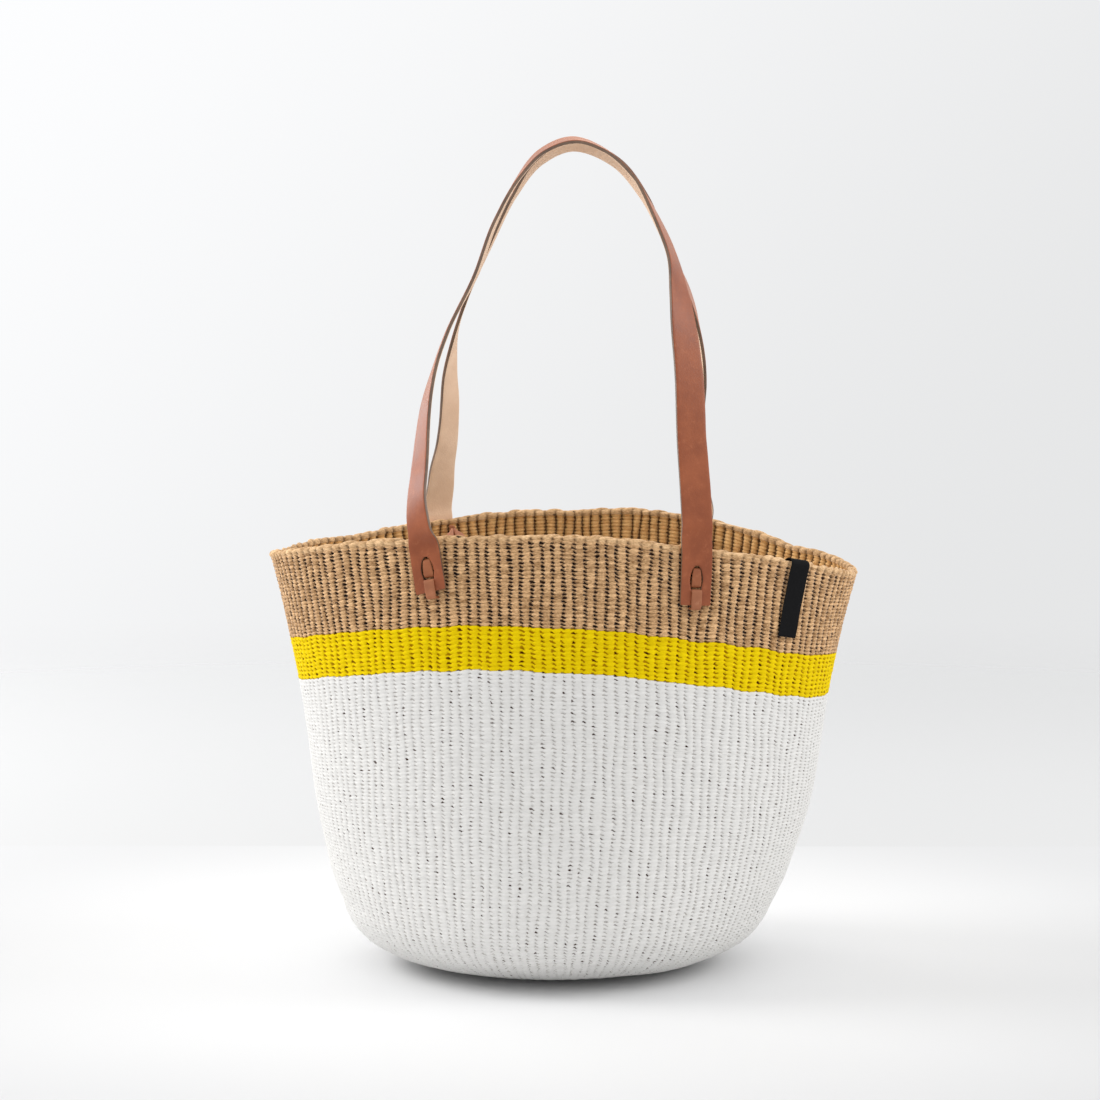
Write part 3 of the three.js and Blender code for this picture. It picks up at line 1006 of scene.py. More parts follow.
    def angle_beside(self, x: float, height: float, is_front: bool) -> float:
        """Finds the angle at which the wall passes a place to the side.

        Args:
            x: the place to the side.
            height: the height up the profile.
            is_front: whether it is on the front half.

        Returns:
            The angle.
        """
        width, _, _, shift = self.profile.read(np.array(height / self.rim_height))
        angle = math.asin((x + self.base_shift * shift) / (self.rim_half_width * width))
        return angle if is_front else math.pi - angle


@dataclass(frozen=True)
class Twine:
    """How the weft of one zone sits on the warps: depths below the wall's skin.

    Lean is how far a row falls at a warp's edge. The pit's sizes are shares of a
    stitch. Inside, each warp is a round cord with a waist and a notch at each row.
    """

    row_pitch: float
    row_groove: float
    warp_dip: float
    pit_depth: float
    lean: float
    unevenness: float = 0.0005
    dive: float = 0.00025
    loose: float = 0.0003
    deepest: float = 0.0027
    pit_side: float = 0.18
    pit_rise: float = 0.27
    pit_lean: float = 0.3
    inner_radius: float = 0.0025
    inner_notch: float = 0.0009
    inner_waist: float = 0.0004
    inner_fat: float = 0.0013
    waist_rise: float = 0.28


@dataclass
class WovenBody:
    """The twined wall and base, built band by band.

    Across_stitch, up_stitch and inner_up are the grid lines of one stitch, as shares.
    Drift, wander and sway are how far the hand's work strays, in stitches.
    """

    shape: BodyShape
    workshop: Workshop
    warps: int = 148
    seed: int = 11
    piece_rows: dict[Zone, int] = field(
        default_factory=lambda: {Zone.WHITE: 20, Zone.YELLOW: 12, Zone.TAN: 11}
    )
    across_stitch: tuple[float, ...] = (0.0, 0.07, 0.17, 0.33, 0.5, 0.67, 0.83, 0.93)
    up_stitch: dict[Zone, tuple[float, ...]] = field(
        default_factory=lambda: {
            Zone.WHITE: (0.0, 0.22, 0.68),
            Zone.YELLOW: (0.0, 0.14, 0.5, 0.86),
            Zone.TAN: (0.0, 0.12, 0.38, 0.66, 0.88),
        }
    )
    inner_up: dict[Zone, tuple[float, ...]] = field(
        default_factory=lambda: {
            Zone.WHITE: (0.0, 0.5),
            Zone.YELLOW: (0.0, 0.3, 0.7),
            Zone.TAN: (0.0, 0.28, 0.72),
        }
    )
    twines: dict[Zone, Twine] = field(
        default_factory=lambda: {
            Zone.WHITE: Twine(0.00245, 0.0002, 0.0001, 0.0008, lean=0.11),
            Zone.YELLOW: Twine(0.0026, 0.0003, 0.00016, 0.0011, lean=0.12),
            Zone.TAN: Twine(0.00224, 0.0005, 0.0009, 0.002, lean=0.1, inner_notch=0.0015, inner_waist=0.0012),
        }
    )
    drift: float = 0.09
    wander: float = 0.09
    wander_wave: float = 0.23
    sway: float = 0.16
    cut_place: float = 0.45
    least_gap: float = 0.08
    luck_rows: int = 160
    fine_steps: int = 400
    base_columns: int = 370
    base_warps: tuple[int, int] = (37, 74)
    base_split: float = 0.045
    base_calm: float = 0.012
    base_turn: float = 0.002

    def __post_init__(self) -> None:
        """Draws the luck of each stitch and plans the rows."""
        draw = np.random.default_rng(self.seed)
        self.luck = draw.uniform(0.0, 1.0, (self.luck_rows, self.warps))
        self.side_ripple = Ripple(self.seed + 1, waves=14, most_round=30, row_wave=16.0)
        self.row_ripple = Ripple(self.seed + 2, waves=12, most_round=36, row_wave=30.0)
        self.bulge_ripple = Ripple(self.seed + 3, waves=10, most_round=12, row_wave=50.0)
        shape = self.shape
        fine = np.linspace(shape.base_rise, shape.white_top, self.fine_steps)
        length = distances(shape.wall(0.0, fine))
        white_rows = round(length[-1] / self.twines[Zone.WHITE].row_pitch)
        yellow_rows = round(shape.yellow_height / self.twines[Zone.YELLOW].row_pitch)
        tan_reach = shape.tan_height - shape.cord_height
        tan_rows = round(tan_reach / self.twines[Zone.TAN].row_pitch)
        self.zone_rows = {
            Zone.WHITE: (0, white_rows),
            Zone.YELLOW: (white_rows, white_rows + yellow_rows),
            Zone.TAN: (white_rows + yellow_rows, white_rows + yellow_rows + tan_rows),
        }
        white_heights = np.interp(np.linspace(0, length[-1], white_rows + 1), length, fine)
        tops = (shape.yellow_top, shape.rim_height - shape.cord_height)
        upper_rows = (self.zone_rows[Zone.YELLOW][1], self.zone_rows[Zone.TAN][1])
        self.row_places = np.concatenate([np.arange(white_rows + 1), upper_rows])
        self.row_heights = np.concatenate([white_heights, tops])

    @staticmethod
    def coarse(zone: Zone) -> int:
        """Gives how many columns outside there are for each one inside."""
        return 1 if zone is Zone.TAN else 2

    def lattice(self, zone: Zone, first: float, last: float, is_inner: bool) -> tuple[Array, Array]:
        """Lists the places of the grid lines, counted in warps and rows.

        Args:
            zone: the band of colour.
            first: the row at which the piece starts.
            last: the row at which it ends.
            is_inner: whether it is the coarser grid of the inside.

        Returns:
            The columns' places and the rows' places.
        """
        columns = self.across_stitch[:: self.coarse(zone)] if is_inner else self.across_stitch
        up = self.inner_up[zone] if is_inner else self.up_stitch[zone]
        warp = (np.arange(self.warps)[:, None] + np.array(columns)).ravel()
        row = (np.arange(math.floor(first), math.ceil(last))[:, None] + np.array(up)).ravel()
        row = row[(row > first + self.least_gap) & (row < last - self.least_gap)]
        return warp, np.concatenate([[first], row, [last]])

    def side_shift(self, warp: Array, row: Array) -> Array:
        """Gives how far the weave has moved to the side, in warps.

        Slow waves move whole stretches, and each seam j wanders by itself by
        a sin(b r + p) cos(pi (w - j))^2, so the warps differ in width.

        Args:
            warp: places counted in warps.
            row: places counted in rows.

        Returns:
            The shift to the side.
        """
        seam = np.round(warp)
        luck = self.luck[0][seam.astype(int) % self.warps]
        wave = np.sin(self.wander_wave * row + TURN * luck)
        own = self.wander * wave * np.cos(math.pi * (warp - seam)) ** 2
        return own + self.drift * self.side_ripple.at(warp / self.warps, row)

    def place(self, warp: Array, row: Array, lean: float) -> tuple[Array, Array]:
        """Puts the lattice on the wall, leaning and uneven as hand work is.

        Each row falls quickly at a warp's edge and climbs back over its face, which is
        a saw wave of three sines; warps drift to the side and rows sway.

        Args:
            warp: places counted in warps.
            row: places counted in rows.
            lean: how much a row falls at a warp's edge, in rows.

        Returns:
            The angle round the mouth and the height up the profile.
        """
        share = warp / self.warps
        last_row = self.zone_rows[Zone.TAN][1]
        calm = smooth_step(row, 0.0, 3.0) * (1 - smooth_step(row, last_row - 2.0, float(last_row)))
        saw = sum(np.sin(TURN * k * warp) / k for k in (1, 2, 3)) / math.pi
        moved_row = row - calm * (2 * lean * saw - self.sway * self.row_ripple.at(share, row))
        moved_warp = warp + self.side_shift(warp, row)
        height = np.interp(moved_row, self.row_places, self.row_heights)
        return self.shape.angle_at(moved_warp / self.warps, height), height

    def outer_depth(self, twine: Twine, warp: Array, row: Array) -> tuple[Array, Array]:
        """Works out how far each place of the outside lies below the wall's skin.

        Powers of the distance from a stitch's middle make the groove between rows and
        the dip between warps, a bell curve makes the pit at each corner, which leans
        over, and slow waves add the unevenness.

        Args:
            twine: the depths of this zone.
            warp: places counted in warps.
            row: places counted in rows.

        Returns:
            The depth, and the painted shade of the grooves and pits, from 0 to 1.
        """
        side, rise = warp - np.round(warp), row - np.round(row)
        luck = self.luck[np.round(row).astype(int), np.round(warp).astype(int) % self.warps]
        across = np.abs(2 * (warp - np.floor(warp) - 0.5))
        groove = twine.row_groove * np.abs(2 * (row - np.floor(row) - 0.5)) ** 4
        dip = twine.warp_dip * across**2.5
        leaning = rise + twine.pit_lean * side
        pit = np.exp(-((side / twine.pit_side) ** 2) - (leaning / twine.pit_rise) ** 2)
        pit = twine.pit_depth * (0.75 + 0.5 * luck) * pit
        dive = twine.dive * smooth_step(warp - np.floor(warp), 0.55, 1.0)
        swell = np.clip(0.5 + 0.4 * self.bulge_ripple.at(warp / self.warps, row), 0, 1)
        own = self.luck[np.floor(row).astype(int) + 3, np.floor(warp).astype(int) % self.warps]
        loose = twine.loose * own * (1 - across**2)
        depth = groove + dip + pit + dive + loose + twine.unevenness * swell
        depth = np.minimum(depth, twine.deepest)
        # Painted shade: darker in the row grooves and most of all in the pits.
        cavity_shade = np.clip((0.3 * groove + pit) / (0.3 * twine.row_groove + twine.pit_depth), 0, 1)
        return depth, cavity_shade

    def inner_depth(self, twine: Twine, warp: Array, row: Array) -> tuple[Array, Array]:
        """Works out how far each place of the inside lies below the inner skin.

        Inside, each warp shows as a round cord of radius r: the depth is
        r (1 - sqrt(1 - s^2.2)) at a share s of the way to its side, and each row makes
        a shallow waist that is deepest at the sides. Some stretches are fatter.

        Args:
            twine: the depths of this zone.
            warp: places counted in warps.
            row: places counted in rows.

        Returns:
            The depth, and the painted shade from 0 to 1, darker towards each cord's sides and in its waists.
        """
        side, rise = warp - np.floor(warp) - 0.5, row - np.round(row)
        share = np.abs(2 * side)
        round_off = 1 - np.sqrt(np.maximum(1 - share**2.2, 0.0))
        waist = np.exp(-((rise / twine.waist_rise) ** 2))
        cord = np.floor(warp).astype(int) % self.warps
        luck = self.luck[np.floor(row / 3).astype(int), cord]
        fat = twine.inner_fat * (luck - 0.35) * (1 - share**2) * np.sin(row * 1.3 + cord) ** 2
        notch = twine.inner_waist + twine.inner_notch * share**3
        depth = np.minimum(twine.inner_radius * round_off + notch * waist + fat, twine.deepest)
        # The second value is painted shade, darker towards the cord's sides and in its waists.
        return depth, np.clip(round_off**1.15 + 0.45 * waist * share**2, 0, 1)

    def band(
        self, zone: Zone, first: float, last: float, name: str, looks: list[Material]
    ) -> Thing:
        """Builds one closed ring of the wall, with its outside and its inside.

        Args:
            zone: the band of colour.
            first: the row at which it starts.
            last: the row at which it ends.
            name: the piece's name.
            looks: the outer and the inner material.

        Returns:
            The piece.
        """
        twine = self.twines[zone]
        skin = Skin()
        firsts, counts = [], []
        for is_inner in (False, True):
            warps, rows = self.lattice(zone, first, last, is_inner)
            warp, row = np.meshgrid(warps, rows)
            angle, height = self.place(warp, row, 0.0 if is_inner else twine.lean)
            depth, cavity_shade = (self.inner_depth if is_inner else self.outer_depth)(twine, warp, row)
            normal = self.shape.directions(angle, height)[2]
            below = self.shape.thickness - depth if is_inner else depth
            points = self.shape.wall(angle, height) - normal * below[..., None]
            points[..., 2] += self.shape.lift(angle, height)
            uv = np.stack(np.meshgrid(np.append(warps, self.warps), rows), -1)
            # The marks carry the painted shade that the material reads.
            firsts.append(skin.add_grid(points, uv, True, int(is_inner), cavity_shade, is_inner))
            counts.append(points.shape[:2])
        for is_top in (False, True):
            self.cap(skin, firsts, counts, is_top)
        return skin.build(name, looks, "cavity_shade")

    @staticmethod
    def cap(skin: Skin, firsts: list[int], counts: list[tuple[int, int]], is_top: bool) -> None:
        """Closes a band's top or bottom between its outer and inner edge.

        Where the outer edge has two points for each one inside, each step is a
        triangle and a quad, and otherwise a quad.

        Args:
            skin: the band so far.
            firsts: the first point of the outer and the inner grid.
            counts: the rows and columns of each.
            is_top: whether it is the top that is closed.
        """
        (outer_rows, outer_columns), (inner_rows, inner_columns) = counts
        outer = firsts[0] + (outer_rows - 1) * outer_columns * is_top
        inner = firsts[1] + (inner_rows - 1) * inner_columns * is_top
        step = np.arange(inner_columns)
        if outer_columns == inner_columns:
            beside = (step + 1) % inner_columns
            fours = np.stack([outer + step, outer + beside, inner + beside, inner + step], -1)
            skin.add_faces(fours if is_top else fours[:, ::-1], is_smooth=False)
            return
        outers = [outer + (2 * step + shift) % outer_columns for shift in range(3)]
        inners = [inner + (step + shift) % inner_columns for shift in range(2)]
        threes = np.stack([outers[0], outers[1], inners[0]], -1)
        fours = np.stack([outers[1], outers[2], inners[1], inners[0]], -1)
        for faces in (threes, fours):
            skin.add_faces(faces if is_top else faces[:, ::-1], is_smooth=False)

    def base(self, looks: list[Material]) -> Thing:
        """Builds the round start of the weave, flat underneath with a turned-up edge.

        The surface is swept from the middle outwards: a share of the foot's ring up to
        its edge, and then the wall's own profile. Warps are added as it widens.

        Args:
            looks: the outer and the inner material.

        Returns:
            The piece.
        """
        shape, twine, columns = self.shape, self.twines[Zone.WHITE], self.base_columns
        foot_ring = shape.wall(np.linspace(0, TURN, 9), 0.0)[:, :2]
        foot = float(np.mean(np.linalg.norm(foot_ring, axis=-1)))
        fine = np.linspace(0.0, shape.base_rise, 60)
        reach = foot + distances(shape.wall(0.0, fine))
        row_count = round(reach[-1] / twine.row_pitch)
        middle = np.array([-shape.base_shift, 0.0, 0.0])
        step = np.arange(columns)
        skin = Skin()
        edges = []
        for is_inner in (False, True):
            up = np.array((0.0, 0.5) if is_inner else (0.0, 0.25, 0.7))
            rows = np.append((np.arange(row_count)[:, None] + up).ravel(), row_count)
            rows = rows[rows > 0.4]
            share, row = np.meshgrid(step / columns, rows)
            run = row / row_count * reach[-1]
            height = np.interp(run, reach, fine)
            spread = np.minimum(run / foot, 1.0)[..., None]
            angle = TURN * share - math.pi
            points = middle + (shape.wall(angle, height) - middle) * spread
            normal = shape.directions(angle, np.maximum(height, 2 * shape.probe))[2]
            ease = smooth_step(height, 0.0, self.base_turn)[..., None]
            normal = unit(normal * ease - UP * (1 - ease))
            warps = np.where(run > self.base_split, self.base_warps[1], self.base_warps[0])
            depth, cavity_shade = (self.inner_depth if is_inner else self.outer_depth)(twine, share * warps, row)
            depth = depth * smooth_step(run, 0.0, self.base_calm)
            below = shape.thickness - depth if is_inner else depth
            points = points - normal * below[..., None]
            wide = np.append(step / columns, 1.0)
            uv = np.stack(np.broadcast_arrays(wide[None, :] * warps[:, :1], rows[:, None]), -1)
            start = skin.add_grid(points, uv, True, int(is_inner), cavity_shade, is_inner)
            pole = skin.add_points(middle + UP * shape.thickness * is_inner)
            fan = np.stack([start + step, start + (step + 1) % columns, np.full(columns, pole)], -1)
            skin.add_faces(fan if is_inner else fan[:, ::-1], None, int(is_inner))
            edges.append(start + (len(rows) - 1) * columns)
        beside = (step + 1) % columns
        rim = np.stack([edges[0] + step, edges[0] + beside, edges[1] + beside, edges[1] + step], -1)
        skin.add_faces(rim, is_smooth=False)
        return skin.build("base_weave", looks, "cavity_shade")

    def build(self, finishes: dict[Zone, tuple[WeaveFinish, WeaveFinish]]) -> None:
        """Builds the base and every band, and puts them in the basket's body.

        Args:
            finishes: the outer and the inner finish of each zone.
        """
        nodes = {Zone.WHITE: "white_wall", Zone.YELLOW: "yellow_band", Zone.TAN: "tan_band"}
        for zone, (outer, inner) in finishes.items():
            looks = [outer.make(self.workshop), inner.make(self.workshop)]
            first, last = self.zone_rows[zone]
            pieces = math.ceil((last - first) / self.piece_rows[zone])
            cuts = np.round(np.linspace(first, last, pieces + 1)) + self.cut_place
            cuts[[0, -1]] = first, last
            for number, (low, high) in enumerate(zip(cuts[:-1], cuts[1:]), 1):
                name = f"{zone.value}_weave_{number}"
                piece = self.band(zone, float(low), float(high), name, looks)
                finish_piece(piece, [nodes[zone]])
            if zone is Zone.WHITE:
                finish_piece(self.base(looks), ["base_disc"])


@dataclass
class Border:
    """The rolled edge, where each warp rounds over and locks the next.

    The grooves' depths are those at the outside, the top and the inside. The pit's
    sizes are shares of a turn and of a warp, and a turn counts as five rows of UV.
    """

    body: WovenBody
    per_warp: int = 8
    sides: int = 24
    outer_groove: float = 0.0007
    top_groove: float = 0.0012
    inner_groove: float = 0.0024
    inset: float = 0.0003
    sink: float = 0.0009
    lump: float = 0.0014
    sway: float = 0.0004
    pit_depth: float = 0.0009
    pit_drop: float = 0.06
    pit_lean: float = 0.12
    pit_rise: float = 0.04
    pit_side: float = 0.17
    turn_length: int = 5
    deepest: float = 0.0021
    seed: int = 23

    @staticmethod
    def slide(cos: Array) -> Array:
        """Gives how many warps a strand has moved on as it rolls over to the outside."""
        return smooth_step(cos, -0.7, 1.0)

    def surface(self, share: Array, turn: Array) -> tuple[Array, Array]:
        """Works out the border as a rounded section carried round the rim.

        The section is |cos|^p, |sin|^p of the turn, with p below 1 underneath, so it
        sits square on the wall and reaches a little into it. Inside, the groove at each
        warp continues the seam between two ribs. It slides one warp to the side over
        the top and goes on as the seam outside. Its depth is 1 - sqrt(1 - |2 frac(u)
        - 1|^2.2) of the groove's, and the strand between two grooves swells by
        1 - |2 frac(u) - 1|^2.5 of its own lump. A bell curve makes a pit below it.

        Args:
            share: the share of the way round the rim.
            turn: the share of the way round the section, from the outside upwards.

        Returns:
            The points, and the painted shade of the grooves and the pits below them, from 0 to 1.
        """
        body, shape = self.body, self.body.shape
        draws = np.random.default_rng(self.seed).uniform(0.0, 1.0, (3, body.warps))
        ripple = Ripple(self.seed, waves=10, most_round=30, row_wave=20.0)
        angle = shape.angle_at(share, np.full(share.shape, shape.rim_height))
        middle = np.full(share.shape, shape.rim_height - shape.cord_height / 2)
        _, up, normal = shape.directions(angle, middle)
        last_row = float(body.zone_rows[Zone.TAN][1])
        warp = share * body.warps - body.side_shift(share * body.warps, last_row + 0 * share)
        cos, sin = np.cos(TURN * turn), np.sin(TURN * turn)
        inside, below = smooth_step(-cos, -0.5, 0.6), smooth_step(-sin, -0.1, 0.6)
        lay = warp + self.slide(cos)
        cord = np.floor(lay).astype(int) % body.warps
        wave = np.abs(2 * (lay - np.floor(lay)) - 1)
        outer = self.outer_groove + (self.top_groove - self.outer_groove) * (1 - below)
        inner = self.top_groove + (self.inner_groove - self.top_groove) * below
        groove = (outer + (inner - outer) * inside) * (0.75 + 0.5 * draws[0][cord])
        groove = np.minimum(groove * (1 - np.sqrt(np.maximum(1 - wave**2.2, 0.0))), self.deepest)
        swell = self.lump * (1.2 * draws[1][cord] - 0.1) * (1 - wave**2.5) * (1 - below)
        square = 1 - below * (0.45 + 0.1 * inside)
        half = shape.thickness / 2
        out = half * np.sign(cos) * np.abs(cos) ** square - groove * cos
        out = out + 0.4 * swell * np.maximum(cos, 0.0)
        tall = shape.cord_height / 2 + self.sink * (sin < 0)
        high = tall * np.sign(sin) * np.abs(sin) ** square
        wavy = self.sway * ripple.at(share, 0 * share + 7.0)
        high = high + (swell - groove + wavy) * np.maximum(sin, 0.0)
        side = lay - np.round(lay)
        low = (turn + 0.5) % 1.0 - 0.5 + self.pit_drop
        size = draws[2][np.round(lay).astype(int) % body.warps] + 0.3
        leaning = (low + self.pit_lean * side) / self.pit_rise
        pit = size * np.exp(-((side / self.pit_side) ** 2) - leaning**2)
        centre = shape.wall(angle, middle) - normal * (half + self.inset)
        centre[..., 2] += shape.lift(angle, shape.rim_height)
        points = centre + normal * (out - self.pit_depth * pit)[..., None] + up * high[..., None]
        # The second value is painted shade in the grooves, stronger inside, and in the pits.
        return points, np.clip(wave**4 * (0.45 + 0.55 * inside) + 0.8 * pit, 0, 1)

    def build(self, finish: WeaveFinish) -> None:
        """Builds the border's mesh and puts it in the basket's body.

        Args:
            finish: the material of the cord.
        """
        count = self.body.warps * self.per_warp
        share, turn = np.meshgrid(np.arange(count) / count, np.arange(self.sides) / self.sides)
        points, cavity_shade = (np.concatenate([grid, grid[:1]]) for grid in self.surface(share, turn))
        columns, rows = np.arange(count + 1) / self.per_warp, np.arange(self.sides + 1) / self.sides
        wide, tall = np.meshgrid(columns, rows)
        uv = np.stack([wide + self.slide(np.cos(TURN * tall)), tall * self.turn_length], -1)
        skin = Skin()
        skin.add_grid(points, uv, is_round=True, marks=cavity_shade)
        piece = skin.build("rim_border_cord", [finish.make(self.body.workshop)], "cavity_shade")
        weld(piece)
        finish_piece(piece, ["rim_border"])


def finish_piece(piece: Thing, nodes: list[str], body: str = "basket") -> None:
    """Hides what a piece stands for, lets it ride on a body and logs it.

    Args:
        piece: the finished object.
        nodes: the CAD nodes that it stands for.
        body: the CAD body that it moves with.
    """
    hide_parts(*nodes)
    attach(piece, body)
    report(piece)


def report(piece: Thing) -> None:
    """Logs a piece's name and how many faces it has."""
    log.info("%s: %d faces", piece.name, len(piece.data.polygons))


# Straps and laces


@dataclass(frozen=True)
class Leg:
    """One leg of a strap, from its cut end to the top of the loop.

    The out table gives the share of the way out for shares of the climb, the twist
    table the share of the quarter turn, from below the fold on, and the tilt table how
    many degrees the far edge dips. The slot's ends and the lace's lowest point are
    heights above the solid's cut end. Cut is how far that end is cut askew, and shift
    and knot_side are how far the leg's foot and its knot lie to the side.
    """

    side: str
    distance: float
    lean: float
    out: Table
    twist: Table
    tilt: Table = Table(((0.0, 0.0), (0.5, 0.0), (0.8, 13.0), (1.0, 13.0)))
    slot_low: float = 0.0066
    slot_high: float = 0.0218
    lace_low: float = -0.0045
    cut: float = 0.0
    shift: float = 0.0
    knot_side: float = 0.0


@dataclass(frozen=True)
class TieFrame:
    """The place of one strap end, flat against the wall.

    The origin is on the wall's surface at the middle of the strap's cut end.
    """

    origin: Array
    across: Array
    climb: Array
    normal: Array
    rim_height: float

    def at(self, side: Array, rise: Array, depth: Array) -> Array:
        """Gives places in this frame.

        Args:
            side: distances across from the origin.
            rise: distances up along the strap's end.
            depth: distances out from the wall.

        Returns:
            Points along the last axis.
        """
        parts = np.broadcast_arrays(side, rise, depth)
        axes = (self.across, self.climb, self.normal)
        return self.origin + sum(part[..., None] * axis for part, axis in zip(parts, axes))


@dataclass(frozen=True)
class Run:
    """A line through space with the width and the outward direction of a strip on it."""

    centre: Array
    width: Array
    through: Array
    length: Array


def smooth_path(corners: Array, fineness: int = 60) -> Array:
    """Draws a smooth curve through places, tight where they lie close together.

    Between two places it is a cubic whose end slopes come from the square roots of
    the distances to their neighbours.

    Args:
        corners: the places, at least three.
        fineness: how many steps lie between two places.

    Returns:
        The points of the curve.
    """
    first, last = 2 * corners[0] - corners[1], 2 * corners[-1] - corners[-2]
    places = np.concatenate([[first], corners, [last]])
    gaps = np.sqrt(np.linalg.norm(np.diff(places, axis=0), axis=-1))[:, None]
    before, here, there, after = places[:-3], places[1:-2], places[2:-1], places[3:]
    gap_before, gap, gap_after = gaps[:-2], gaps[1:-1], gaps[2:]
    along = (there - here) / gap
    slope_here = (here - before) / gap_before - (there - before) / (gap_before + gap) + along
    slope_there = along - (after - here) / (gap + gap_after) + (after - there) / gap_after
    slope_here, slope_there = slope_here * gap, slope_there * gap
    share = (np.arange(fineness) / fineness)[None, :, None]
    rest = [part[:, None] for part in (here, there, slope_here, slope_there)]
    cubic = 2 * rest[0] - 2 * rest[1] + rest[2] + rest[3]
    square = -3 * rest[0] + 3 * rest[1] - 2 * rest[2] - rest[3]
    points = rest[0] + rest[2] * share + square * share**2 + cubic * share**3
    return np.concatenate([points.reshape(-1, 3), corners[-1:]])


def resample(values: Array, at: Array, where: Array) -> Array:
    """Reads columns of values at other places along a line."""
    return np.stack([np.interp(where, at, column) for column in values.T], -1)


